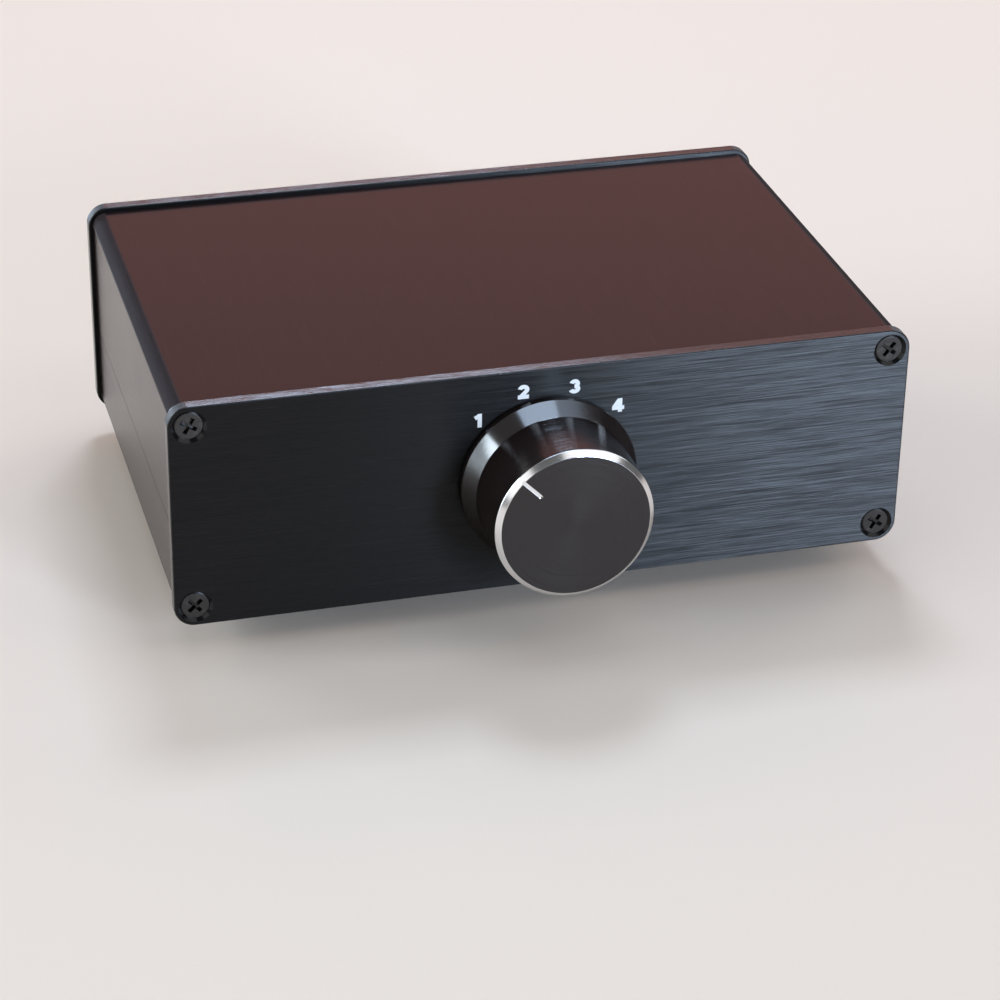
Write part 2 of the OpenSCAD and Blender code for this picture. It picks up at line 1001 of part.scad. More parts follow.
module right_signal_wires() {
    color("#b03024")
        signal_wires(-1);
}

// Bare wire along both rows of tags, joined past input 4
module ground_bus_wire() {
    far_x = jack_span / 2 + tag_w / 2;
    tops = [for (side = [-1, 1]) row_y(side) + side * bus_reach];
    color(bare_metal)
        on_rear()
            translate([0, 0, tag_face - bus_d / 2 - fit]) {
                for (y = tops)
                    translate([bus_link_x, y, 0]) {
                        sphere(d = bus_d);
                        rotate([0, 90, 0])
                            cylinder(d = bus_d, h = far_x - bus_link_x);
                    }
                translate([bus_link_x, tops[0], 0])
                    rotate([-90, 0, 0])
                        cylinder(d = bus_d, h = tops[1] - tops[0]);
            }
}

top_shell();
bottom_shell();
front_panel();
rear_panel();
front_panel_screws();
rear_panel_screws();
foot(-1, -1);  // foot_front_left
foot(1, -1);  // foot_front_right
foot(-1, 1);  // foot_rear_left
foot(1, 1);  // foot_rear_right
knob();
knob_set_screw();
switch_bushing();
switch_washer();
switch_nut();
switch_shaft();
shaft_clip();
detent_wheel();
detent_spring();
switch_housing();
switch_rotor();
rotor_contacts();
switch_base();
switch_terminals();
switch_screws();
jack_insulators();
outer_washers();
inner_washers();
ground_tags();
jack_nuts();
red_marker_rings();
black_marker_rings();
left_signal_wires();
right_signal_wires();
ground_bus_wire();
for (j = jacks) {
    jack_shell(j);
    jack_contact(j);
}
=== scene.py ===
import math
from contextlib import contextmanager

import bmesh
import bpy
from bpy.props import FloatProperty, FloatVectorProperty, PointerProperty
from mathutils import Matrix, Vector


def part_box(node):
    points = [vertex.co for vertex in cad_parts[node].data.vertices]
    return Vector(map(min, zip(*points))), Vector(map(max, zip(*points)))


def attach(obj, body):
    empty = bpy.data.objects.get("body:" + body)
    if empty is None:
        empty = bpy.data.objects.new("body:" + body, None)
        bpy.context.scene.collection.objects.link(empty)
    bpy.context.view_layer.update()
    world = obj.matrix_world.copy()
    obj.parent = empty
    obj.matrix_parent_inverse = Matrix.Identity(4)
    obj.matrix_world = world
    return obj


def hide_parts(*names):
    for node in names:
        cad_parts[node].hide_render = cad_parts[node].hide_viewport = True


bl_info = {
    "name": "Audio source selector",
    "version": (1, 0, 0),
    "blender": (4, 5, 0),
    "location": "View3D > Sidebar > Selector",
    "description": "Models, finishes and lights a small audio source selector",
    "category": "Object",
}

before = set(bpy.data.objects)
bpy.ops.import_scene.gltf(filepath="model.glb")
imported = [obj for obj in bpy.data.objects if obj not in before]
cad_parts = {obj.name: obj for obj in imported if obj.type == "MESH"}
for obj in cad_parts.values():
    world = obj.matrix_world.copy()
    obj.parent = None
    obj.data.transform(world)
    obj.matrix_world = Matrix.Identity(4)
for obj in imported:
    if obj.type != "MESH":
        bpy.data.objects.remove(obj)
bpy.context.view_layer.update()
MM = 0.001
MERGE = 0.002 * MM

# Places read from the frame
FRONT_LOW, FRONT_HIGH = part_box("front_panel")
REAR_LOW, REAR_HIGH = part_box("rear_panel")
KNOB_LOW, KNOB_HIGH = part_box("knob")
PANEL_W = FRONT_HIGH.x - FRONT_LOW.x
PANEL_H = FRONT_HIGH.z - FRONT_LOW.z
PANEL_T = FRONT_HIGH.y - FRONT_LOW.y
MID_Z = (FRONT_LOW.z + FRONT_HIGH.z) / 2
ROWS = ("left", "right")
INPUTS = ("input_1", "input_2", "input_3", "input_4", "common")
JACKS = [f"{name}_{row}" for row in ROWS for name in INPUTS]
FEET = [f"foot_{end}_{side}" for end in ("front", "rear") for side in ROWS]


def facing(right, out, origin):
    """Frame whose X runs right and Z runs out of a face, with Y up."""
    axes = Matrix((right, (0, 0, 1), out)).transposed()
    return Matrix.Translation(origin) @ axes.to_4x4()


FRONT = facing((1, 0, 0), (0, -1, 0), (0, FRONT_LOW.y, MID_Z))
REAR = facing((-1, 0, 0), (0, 1, 0), (0, REAR_HIGH.y, MID_Z))


def middle(node):
    """Centre of a node's box."""
    low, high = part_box(node)
    return (low + high) / 2


def length(name, description, millimetres):
    """A length property, given in millimetres."""
    return FloatProperty(
        name=name, description=description, default=millimetres * MM, unit="LENGTH", precision=5
    )


def colour(name, description, value):
    """A colour property, in linear light."""
    return FloatVectorProperty(
        name=name, description=description, default=value, subtype="COLOR", min=0, max=1
    )


class PanelSizes(bpy.types.PropertyGroup):
    corner_r: length("Corner radius", "Radius of a panel's corners", 4.5)
    edge: length("Edge", "Rounding of a panel's edges", 0.35)
    inset: length("Screw inset", "From a panel's edges to its screws", 4.5)
    sink_d: length("Countersink", "Diameter of a countersink at the face", 7.3)
    hole_d: length("Screw hole", "Diameter of a screw hole", 3.2)
    bushing_hole_d: length("Switch hole", "Hole for the switch's bushing", 9.1)
    jack_hole_d: length("Jack hole", "Hole for a jack's washer", 9.3)


class ScrewSizes(bpy.types.PropertyGroup):
    head_d: length("Head", "Diameter of a head", 6)
    head_rim: length("Head rim", "Rounding round a head", 0.35)
    head_drop: length("Head drop", "Depth of a head below the panel's face", 0.5)
    thread_d: length("Thread", "Diameter of the thread", 3)
    screw_l: length("Length", "Length of a screw", 10)
    cross_span: length("Cross span", "Span of the cross recess", 3.8)
    cross_w: length("Cross width", "Width of the cross recess", 0.9)
    cross_depth: length("Cross depth", "Depth of the cross recess", 0.9)


class FootSizes(bpy.types.PropertyGroup):
    taper: length("Taper", "How much the radius shrinks towards the ground", 1)
    edge: length("Edge", "Rounding of the lower edge", 0.8)


class KnobSizes(bpy.types.PropertyGroup):
    grip_d: length("Grip", "Diameter of the grip", 34)
    rim_h: length("Skirt rim", "Height of the skirt's straight rim", 1.4)
    cone_h: length("Skirt cone", "Height of the skirt's cone", 4)
    ring: length("Bright ring", "Width of the cut round the face", 1.1)
    edge: length("Edge", "Rounding of the turned edges", 0.12)
    recess_d: length("Recess", "Diameter of the hollow over the switch's nut", 16.4)
    recess_room: length("Recess room", "Space above the clip in the hollow", 1)
    bore_d: length("Bore", "Hole for the spindle", 6.1)
    pointer_l: length("Pointer length", "Length of the pointer line", 5.5)
    pointer_w: length("Pointer width", "Width of the pointer line", 0.8)
    pointer_depth: length("Pointer depth", "Depth of the pointer line", 0.3)
    pointer_angle: FloatProperty(
        name="Pointer angle",
        description="Where the pointer stands at rest, clockwise from the top",
        default=math.radians(-45),
        subtype="ANGLE",
    )
    set_screw_d: length("Set screw hole", "Diameter of the hole for the set screw", 3.1)


class JackSizes(bpy.types.PropertyGroup):
    flange_af: length("Flange", "Width across the flats of the hex flange", 10.4)
    flange_t: length("Flange thickness", "Thickness of the hex flange", 2)
    neck_d: length("Neck", "Diameter of the neck behind the coloured ring", 9.6)
    neck_l: length("Neck length", "Length of the neck behind the coloured ring", 2.3)
    washer_d: length("Washer", "Diameter of the outer washer", 14.5)
    washer_t: length("Washer thickness", "Thickness of the outer washer", 1.2)
    shoulder_d: length("Washer shoulder", "Diameter of the washer's shoulder", 9.2)
    shoulder_l: length("Shoulder length", "Length of the washer's shoulder", 1.4)
    marker_d: length("Marker ring", "Diameter of the coloured ring", 10)
    marker_t: length("Marker thickness", "Thickness of the coloured ring", 1.2)
    seat_d: length("Marker seat", "Diameter under the coloured ring", 8.8)
    groove_l: length("Groove", "Width of the groove behind the collar", 0.4)
    collar_d: length("Collar", "Diameter of the collar", 9.2)
    collar_l: length("Collar length", "Length of the collar", 1.5)
    barrel_d: length("Barrel", "Diameter of the barrel", 8.2)
    barrel_edge: length("Barrel edge", "Rounding of the barrel's end", 0.25)
    thread_d: length("Thread", "Diameter of the thread", 8)
    socket_d: length("Socket", "Bore of the shell", 5.2)
    contact_d: length("Contact", "Diameter of the centre contact", 4)
    insulator_drop: length("Insulator drop", "Depth of the insulator below the tip", 1)
    insulator_lip: length("Insulator lip", "Thickness of the insulator's front lip", 1)
    lip_d: length("Lip", "Hole in the insulator's front lip", 3.2)
    funnel_d: length("Funnel", "Diameter of the insulator's funnel at its face", 4.5)
    funnel_l: length("Funnel depth", "Depth of the insulator's funnel", 0.7)
    edge: length("Edge", "Rounding of the small edges", 0.1)
    fit: length("Fit", "Radial clearance between fixed pieces", 0.05)


class LetteringSizes(bpy.types.PropertyGroup):
    dial_h: length("Dial numerals", "Height of the numerals round the knob", 3.15)
    row_h: length("Headings", "Height of the rear headings", 3.55)
    side_h: length("Side letters", "Height of the rear side letters", 3.95)
    paint: length("Paint", "Thickness of the printed paint", 0.03)
    dial_r: length("Dial radius", "From the knob's axis to the numerals", 21.4)
    row_y: length("Heading height", "Height of the rear headings above the middle", 21.1)
    side_x: length("Side place", "From the middle to the rear side letters", 61.3)
    side_drop: length("Side drop", "How far the side letters stand below their row", 0.8)
    weight: FloatProperty(
        name="Weight", description="Width of a stroke, as a share of the height", default=0.29
    )
    spacing: FloatProperty(
        name="Spacing", description="Gap between letters, as a share of the height", default=0.24
    )
    step: FloatProperty(
        name="Step",
        description="Angle from one numeral to the next",
        default=math.radians(30),
        subtype="ANGLE",
    )


class FinishColours(bpy.types.PropertyGroup):
    panel: colour("Panels", "Dyed panels", (0.0032, 0.0028, 0.0030))
    shell: colour("Shells", "Dyed shells", (0.0125, 0.0068, 0.0068))
    knob: colour("Knob", "Dyed knob", (0.0095, 0.0060, 0.0055))
    cut: colour("Cut metal", "Bare cut aluminium", (0.86, 0.86, 0.87))
    screw: colour("Screws", "Blackened steel", (0.060, 0.057, 0.056))
    gold: colour("Gold", "Gold plate", (0.94, 0.84, 0.53))
    nylon: colour("Nylon", "White washers", (0.81, 0.84, 0.77))
    red: colour("Red ring", "Right channel's marker", (0.74, 0.12, 0.075))
    black: colour("Black ring", "Left channel's marker", (0.03, 0.03, 0.028))
    rubber: colour("Rubber", "Feet", (0.020, 0.020, 0.021))
    paint: colour("Paint", "Printed characters", (0.70, 0.70, 0.69))
    plated: colour("Plated metal", "Nickel plate and tin", (0.62, 0.61, 0.58))
    # Painted shade: the gold of the centre contacts is darkened to brown for the shade deep in the sockets.
    contact: colour("Contact", "Inside of the centre contacts", (0.34, 0.19, 0.08))
    brass: colour("Brass", "Spindle", (0.72, 0.52, 0.24))
    phenolic: colour("Phenolic", "Switch mouldings", (0.13, 0.065, 0.032))
    ivory: colour("Ivory", "Switch rotor", (0.76, 0.72, 0.61))
    wire: colour("Pale wire", "Left channel's wires", (0.70, 0.70, 0.70))
    red_wire: colour("Red wire", "Right channel's wires", (0.45, 0.04, 0.025))
    floor: colour("Floor", "Plain floor", (0.72, 0.60, 0.50))


class StageSettings(bpy.types.PropertyGroup):
    camera: FloatVectorProperty(
        name="Camera",
        description="Where the camera stands, from the middle of the front face",
        default=(-0.1668, -0.5552, 0.3122),
        subtype="XYZ",
        unit="LENGTH",
    )
    aim: FloatVectorProperty(
        name="Aim",
        description="Point in the middle of the picture, from the middle of the front face",
        default=(-0.0102, 0, -0.0042),
        subtype="XYZ",
        unit="LENGTH",
    )
    roll: FloatProperty(
        name="Roll",
        description="Turn of the camera about its line of sight",
        default=math.radians(0.96),
        subtype="ANGLE",
    )
    lens: FloatProperty(
        name="Lens", description="Focal length on a 36 mm sensor, in mm", default=112.7
    )
    sky: FloatProperty(name="Sky", description="Light from all round", default=0.12)
    floor_size: length("Floor size", "Side of the floor", 9000)


# Modelling helpers


def only(*pieces):
    """Select these objects and nothing else, with the first one active."""
    bpy.ops.object.select_all(action="DESELECT")
    for piece in pieces:
        piece.select_set(True)
    bpy.context.view_layer.objects.active = pieces[0]


@contextmanager
def editing(piece, mode):
    """Edit mode on one piece, picking vertices, edges or faces."""
    only(piece)
    bpy.ops.object.mode_set(mode="EDIT")
    bpy.ops.mesh.select_mode(type=mode)
    yield
    bpy.ops.object.mode_set(mode="OBJECT")


def pick(piece, kind, test):
    """In edit mode, select the edges or faces that pass a test on their middle."""
    bpy.ops.mesh.select_all(action="DESELECT")
    mesh = bmesh.from_edit_mesh(piece.data)
    for item in getattr(mesh, kind):
        centre = sum((v.co for v in item.verts), Vector()) / len(item.verts)
        item.select_set(test(centre, item))
    mesh.select_flush_mode()
    bmesh.update_edit_mesh(piece.data)


def new_piece(name):
    """The primitive that was just added, under its own name."""
    piece = bpy.context.object
    piece.name = name
    piece.data.name = name
    return piece


def turned(name, profile, sides=64, hollow=False):
    """Turn a piece round Z: one ring of edges drawn through (radius, height) pairs."""
    bpy.ops.object.select_all(action="DESELECT")
    radius, height = profile[0]
    bpy.ops.mesh.primitive_circle_add(vertices=sides, radius=radius)
    piece = new_piece(name)
    with editing(piece, "VERT"):
        bpy.ops.mesh.select_all(action="SELECT")
        bpy.ops.transform.translate(value=(0, 0, height))
        for next_radius, next_height in profile[1:]:
            rise = (0, 0, next_height - height)
            bpy.ops.mesh.extrude_region_move(TRANSFORM_OT_translate={"value": rise})
            scale = next_radius / radius
            bpy.ops.transform.resize(value=(scale, scale, 1), center_override=(0, 0, next_height))
            radius, height = next_radius, next_height
        bpy.ops.mesh.select_mode(type="EDGE")
        bpy.ops.mesh.select_non_manifold(extend=False)
        if hollow:
            bpy.ops.mesh.bridge_edge_loops()
        else:
            bpy.ops.mesh.fill_holes(sides=0)
        bpy.ops.mesh.select_all(action="SELECT")
        bpy.ops.mesh.normals_make_consistent(inside=False)
    return piece


def block(name, low, high):
    """A box between two corners."""
    low, high = Vector(low), Vector(high)
    bpy.ops.object.select_all(action="DESELECT")
    bpy.ops.mesh.primitive_cube_add(size=1, location=(low + high) / 2)
    piece = new_piece(name)
    piece.scale = high - low
    bpy.ops.object.transform_apply(location=True, rotation=True, scale=True)
    return piece


def arc(x, y, wide, high, start, end):
    """Points along part of an ellipse, from one angle in degrees to another."""
    steps = max(2, round(abs(end - start) / 12))
    angles = [math.radians(start + (end - start) * step / steps) for step in range(steps + 1)]
    return [(x + wide * math.cos(angle), y + high * math.sin(angle)) for angle in angles]


def apply_modifier(piece, kind, **settings):
    """Add a modifier, set it up and apply it."""
    only(piece)
    modifier = piece.modifiers.new(kind.title(), kind)
    for key, value in settings.items():
        setattr(modifier, key, value)
    bpy.ops.object.modifier_apply(modifier=modifier.name)


def combine(piece, other, operation):
    """Cut, join or keep the common part with another piece, which is used up."""
    apply_modifier(piece, "BOOLEAN", object=other, operation=operation, solver="EXACT")
    bpy.data.objects.remove(other)


def clean(piece):
    """Merge doubled points, which takes out faces without area."""
    with editing(piece, "VERT"):
        bpy.ops.mesh.select_all(action="SELECT")
        bpy.ops.mesh.remove_doubles(threshold=MERGE)
        bpy.ops.mesh.dissolve_degenerate(threshold=MERGE)


def smooth(piece, angle=32):
    """Shade smooth across soft edges, with flat faces kept flat."""
    clean(piece)
    only(piece)
    bpy.ops.object.shade_smooth_by_angle(angle=math.radians(angle))
    apply_modifier(piece, "WEIGHTED_NORMAL", keep_sharp=True)


def round_edges(piece, width, segments=4, angle=35):
    """Round every sharp edge."""
    apply_modifier(
        piece,
        "BEVEL",
        width=width,
        segments=segments,
        limit_method="ANGLE",
        angle_limit=math.radians(angle),
    )


def put(piece, place):
    """Move a piece from the origin to its place, and leave the place in its mesh."""
    only(piece)
    piece.matrix_world = place
    bpy.ops.object.transform_apply(location=True, rotation=True, scale=True)
    return piece


def copies(piece, name, places):
    """One copy for each place, joined into one object; the pattern piece is used up."""
    made = []
    for place in places:
        only(piece)
        bpy.ops.object.duplicate()
        made.append(put(bpy.context.object, place))
    bpy.data.objects.remove(piece)
    only(*made)
    if len(made) > 1:
        bpy.ops.object.join()
    return new_piece(name)


def dress(piece, finishes, body, slot, *nodes):
    """Give a piece its finishes, its body and the nodes it stands for; the record slot argument is not used."""
    piece.data.materials.clear()
    for finish in finishes:
        piece.data.materials.append(finish)
    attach(piece, body)
    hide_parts(*nodes)


def paint(piece, slot, test):
    """Give the faces that pass a test another of the piece's finishes."""
    with editing(piece, "FACE"):
        pick(piece, "faces", test)
        piece.active_material_index = slot
        bpy.ops.object.material_slot_assign()


def dress_node(node, finish):
    """Give a node that shows as it is its finish."""
    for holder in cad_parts[node].material_slots:
        holder.material = finish


# Shader helpers


class Field:
    """A value that varies over a surface; operators add Math nodes."""

    def __init__(self, finish, socket):
        self.finish = finish
        self.socket = socket

    def math(self, operation, *others):
        return self.finish.math(operation, self, *others)

    def __add__(self, other):
        return self.math("ADD", other)

    def __radd__(self, other):
        return self.finish.math("ADD", other, self)

    def __sub__(self, other):
        return self.math("SUBTRACT", other)

    def __rsub__(self, other):
        return self.finish.math("SUBTRACT", other, self)

    def __mul__(self, other):
        return self.math("MULTIPLY", other)

    def __rmul__(self, other):
        return self.finish.math("MULTIPLY", other, self)

    def __gt__(self, other):
        return self.math("GREATER_THAN", other)

    def __abs__(self):
        return self.math("ABSOLUTE")


class Finish:
    """One material, built from nodes round a Principled shader."""

    def __init__(self, name, **constants):
        self.material = bpy.data.materials.new(name)
        self.material.use_nodes = True
        self.tree = self.material.node_tree
        self.shader = self.tree.nodes["Principled BSDF"]
        self.feed(self.shader, {key.replace("_", " "): value for key, value in constants.items()})

    def feed(self, node, values):
        """Link fields to a node's sockets and set plain values on them."""
        for key, value in values.items():
            if isinstance(value, Field):
                self.tree.links.new(value.socket, node.inputs[key])
            else:
                node.inputs[key].default_value = value

    def add(self, kind, settings=None, values=None, output=0):
        """Add a node, set it up, feed its sockets and return one of its outputs."""
        node = self.tree.nodes.new(kind)
        for key, value in (settings or {}).items():
            setattr(node, key, value)
        self.feed(node, values or {})
        return Field(self, node.outputs[output])

    def math(self, operation, *values):
        return self.add("ShaderNodeMath", {"operation": operation}, dict(enumerate(values)))

    def vector(self, operation, *values, output=0):
        return self.add("ShaderNodeVectorMath", {"operation": operation}, dict(enumerate(values)), output)

    def scaled(self, vector, amount):
        """A vector times a varying amount."""
        return self.add("ShaderNodeVectorMath", {"operation": "SCALE"}, {0: vector, "Scale": amount})

    def mix(self, share, first, second):
        """Blend of two colours."""
        values = {0: share, 6: first, 7: second}
        return self.add("ShaderNodeMix", {"data_type": "RGBA"}, values, output=2)

    def where(self):
        """Place on the piece, in metres."""
        return self.add("ShaderNodeTexCoord", output="Object")

    def normal(self):
        return self.add("ShaderNodeNewGeometry", output="Normal")

    def parts(self, vector):
        """A vector's three numbers."""
        split = self.add("ShaderNodeSeparateXYZ", values={0: vector})
        return [Field(self, socket) for socket in split.socket.node.outputs]

    def joined(self, x, y, z):
        return self.add("ShaderNodeCombineXYZ", values={0: x, 1: y, 2: z})

    def noise(self, vector, per_metre, detail=2, roughness=0.5):
        """Noise from 0 to 1, with so many features to the metre along each axis."""
        stretched = self.vector("MULTIPLY", vector, per_metre)
        values = {"Vector": stretched, "Scale": 1, "Detail": detail, "Roughness": roughness}
        return self.add("ShaderNodeTexNoise", values=values)

    def soft_step(self, value, low, high):
        """0 below the low value, 1 above the high one."""
        settings = {"interpolation_type": "SMOOTHSTEP"}
        return self.add("ShaderNodeMapRange", settings, {0: value, 1: low, 2: high})

    def tipped(self, grain, amount):
        """The surface's normal, tipped across a grain by a varying amount."""
        normal = self.normal()
        across = self.vector("CROSS_PRODUCT", normal, grain)
        tip = self.vector("ADD", normal, self.scaled(across, amount))
        return self.vector("NORMALIZE", tip)

    def bump(self, height, distance, strength=1):
        """Normal from a height field, in metres."""
        values = {"Strength": strength, "Distance": distance, "Height": height}
        return self.add("ShaderNodeBump", values=values)

    def done(self, **values):
        """Feed the shader and hand over the material."""
        self.feed(self.shader, {key.replace("_", " "): value for key, value in values.items()})
        return self.material


def rgba(value, gain=1):
    """A colour with its alpha, made lighter or darker."""
    return (*(min(channel * gain, 1) for channel in value), 1)


def brushed_black(name, base, grain, hair_tip, streak_tip, gloss, roughness, edge_blur=0, **constants):
    """Black dyed aluminium, brushed along X or Y, with lines that tip its normal."""
    finish = Finish(name, Specular_IOR_Level=gloss, **constants)
    place = finish.where()
    direction = [float(axis == grain) for axis in "XYZ"]

    def lines(spot, along, across, detail=2, crispness=0.5):
        per_metre = [across] * 3
        per_metre["XYZ".index(grain)] = along
        return finish.noise(spot, per_metre, detail, crispness)

    # Each line is slid along the grain by its own amount, so that no two start together
    slide = finish.scaled(direction, lines(place, 0, 9000) * 0.05)
    slid = finish.vector("ADD", place, slide)
    hair = lines(slid, 110, 60000)
    streak = lines(slid, 140, 7200, 3, 0.7)
    band = lines(slid, 60, 1500, 3)
    cloud = finish.noise(place, (22, 22, 22), 3)
    deep = finish.soft_step(lines(slid, 55, 2600), 0.66, 0.76)
    bright = finish.soft_step(lines(slid, 60, 4200), 0.64, 0.74)
    speck = finish.soft_step(finish.noise(place, (1300, 1300, 1300), 1), 0.80, 0.86)
    x, _, z = finish.parts(finish.normal())
    rounded = finish.soft_step(abs(x * z), 0.02, 0.25)
    amount = (hair - 0.5) * hair_tip + (streak - 0.5) * streak_tip + (band - 0.5) * 0.2 * streak_tip
    tone = finish.soft_step(streak * 0.6 + hair * 0.4, 0.3, 0.7)
    shade = finish.mix(tone, rgba(base, 0.6), rgba(base, 1.5))
    shade = finish.mix(bright * 0.6, shade, rgba(base, 3.5))
    shade = finish.mix(deep * 0.7, shade, rgba(base, 0.3))
    return finish.done(
        Base_Color=finish.mix(speck * 0.8, shade, rgba(base, 14)),
        Roughness=roughness + 0.05 * (cloud - 0.5) + 0.06 * deep + edge_blur * rounded,
        Normal=finish.tipped(direction, amount),
    )


def worn_black(name, base, metal):
    """Rounded edge of dyed metal, rubbed bare in short broken lengths."""
    finish = Finish(name, Specular_IOR_Level=0.5)
    place = finish.where()
    rub = finish.noise(place, (160, 160, 160), 3)
    nick = finish.noise(place, (1900, 1900, 1900), 2)
    bare = finish.soft_step(rub * 0.6 + nick * 0.4, 0.60, 0.72) * 0.6
    return finish.done(
        Base_Color=finish.mix(bare, rgba(base, 1.4), rgba(metal, 0.6)),
        Metallic=bare,
        Roughness=0.22 + 0.14 * nick,
    )


def machined_black(name, base, gloss):
    """Dyed metal cut smooth, as in a countersink; in the screws' cross recesses the same near-black is painted
    shade.
    """
    finish = Finish(name, Specular_IOR_Level=gloss)
    grit = finish.noise(finish.where(), (2200, 2200, 2200), 2)
    return finish.done(
        Base_Color=finish.mix(grit, rgba(base, 0.5), rgba(base, 1.1)),
        Roughness=0.12 + 0.10 * grit,
        Normal=finish.bump(grit, 0.000008, 0.5),
    )


def round_grain(finish, axis_point):
    """Circles round the Y axis through a point: their direction, radius and height."""
    offset = finish.vector("SUBTRACT", finish.where(), axis_point)
    x, y, z = finish.parts(offset)
    flat = finish.joined(x, 0, z)
    radius = finish.vector("LENGTH", flat, output="Value")
    way = finish.vector("NORMALIZE", finish.joined(z, 0, -1 * x))
    settings = {"vector_type": "VECTOR", "convert_from": "OBJECT", "convert_to": "WORLD"}
    return finish.add("ShaderNodeVectorTransform", settings, {0: way}), radius, y


def turned_black(name, base, gloss, roughness, tip, index):
    """Black dyed aluminium turned in a lathe, with lines round its axis."""
    finish = Finish(name, Specular_IOR_Level=gloss, IOR=index)
    grain, radius, height = round_grain(finish, middle("switch_shaft"))
    lines = finish.noise(finish.joined(radius, height, 0), (30000, 30000, 1), 2)
    wide = finish.noise(finish.joined(radius, height, 0), (2600, 2600, 1), 2)
    tone = finish.soft_step(lines, 0.3, 0.7)
    return finish.done(
        Base_Color=finish.mix(tone, rgba(base, 0.6), rgba(base, 1.5)),
        Roughness=roughness + 0.05 * wide,
        Normal=finish.tipped(grain, ((lines - 0.5) + (wide - 0.5) * 0.06) * tip),
    )


def cut_metal(name, base):
    """Bare aluminium with the fine lines of the cutter."""
    finish = Finish(name, Metallic=1)
    grain, radius, height = round_grain(finish, middle("switch_shaft"))
    lines = finish.noise(finish.joined(radius, height, 0), (7000, 7000, 1), 2)
    tone = finish.soft_step(lines, 0.25, 0.75)
    return finish.done(
        Base_Color=finish.mix(tone, rgba(base, 0.9), rgba(base, 1.06)),
        Roughness=0.15 + 0.08 * lines,
        Normal=finish.tipped(grain, (lines - 0.5) * 0.16),
    )


def plating(name, base, roughness, lines_tip):
    """Plated metal turned along Y: bright, with faint lathe lines and wear."""
    finish = Finish(name, Metallic=1)
    place = finish.where()
    lines = finish.noise(place, (60, 4200, 60), 2)
    cloud = finish.noise(place, (260, 260, 260), 3)
    wear = finish.soft_step(finish.noise(place, (1500, 1500, 1500), 2), 0.56, 0.76)
    normal = finish.vector("ADD", finish.normal(), finish.scaled((0, 1, 0), (lines - 0.5) * lines_tip))
    shade = finish.mix(cloud, rgba(base, 0.92), rgba(base, 1.05))
    return finish.done(
        Base_Color=finish.mix(wear * 0.25, shade, rgba(base, 0.8)),
        Roughness=roughness + 0.08 * cloud + 0.08 * wear,
        Normal=finish.vector("NORMALIZE", normal),
    )


def black_steel(name, base):
    """Blackened steel, slightly uneven, paler where a driver has rubbed it."""
    finish = Finish(name, Metallic=0.85)
    place = finish.where()
    grit = finish.noise(place, (2600, 2600, 2600), 3)
    rub = finish.soft_step(finish.noise(place, (700, 700, 700), 3), 0.55, 0.75)
    return finish.done(
        Base_Color=finish.mix(rub * 0.6, rgba(base, 0.9), rgba(base, 1.8)),
        Roughness=0.22 + 0.14 * grit,
        Normal=finish.bump(grit, 0.00002, 0.5),
    )


def moulded(name, base, roughness, grain_per_metre, depth, **constants):
    """Moulded or coated plastic with a fine skin and faint cloudiness."""
    finish = Finish(name, **constants)
    place = finish.where()
    cloud = finish.noise(place, (120, 120, 120), 3)
    skin = finish.noise(place, [grain_per_metre] * 3, 3)
    return finish.done(
        Base_Color=finish.mix(cloud, rgba(base, 0.9), rgba(base, 1.08)),
        Roughness=roughness + 0.1 * (skin - 0.5),
        Normal=finish.bump(skin, depth, 0.6),
    )


def rubber(name, base):
    """Matt rubber with a dusty bloom."""
    finish = Finish(name, Specular_IOR_Level=0.3)
    place = finish.where()
    grit = finish.noise(place, (3200, 3200, 3200), 3)
    bloom = finish.soft_step(finish.noise(place, (180, 180, 180), 4), 0.45, 0.75)
    return finish.done(
        Base_Color=finish.mix(bloom * 0.5, rgba(base), rgba(base, 1.9)),
        Roughness=0.62 + 0.2 * grit,
        Normal=finish.bump(grit, 0.00004, 0.6),
    )


def printed_paint(name, base):
    """Screen-printed white paint, a little thin in places."""
    finish = Finish(name)
    place = finish.where()
    thin = finish.soft_step(finish.noise(place, (1400, 1400, 1400), 3), 0.6, 0.85)
    return finish.done(
        Base_Color=finish.mix(thin * 0.3, rgba(base), rgba(base, 0.7)),
        Roughness=0.42 + 0.15 * thin,
    )


# Operators


class SELECTOR_OT_case(bpy.types.Operator):
    """Finish the two shells of the case"""

    bl_idname = "selector.case"
    bl_label = "Case shells"

    def execute(self, context):
        finish = brushed_black("Brushed shell", context.scene.selector_colours.shell, "Y", 0.8, 0.3, 0.17, 0.19, 0.7)
        for node in ("top_shell", "bottom_shell"):
            dress_node(node, finish)
        return {"FINISHED"}


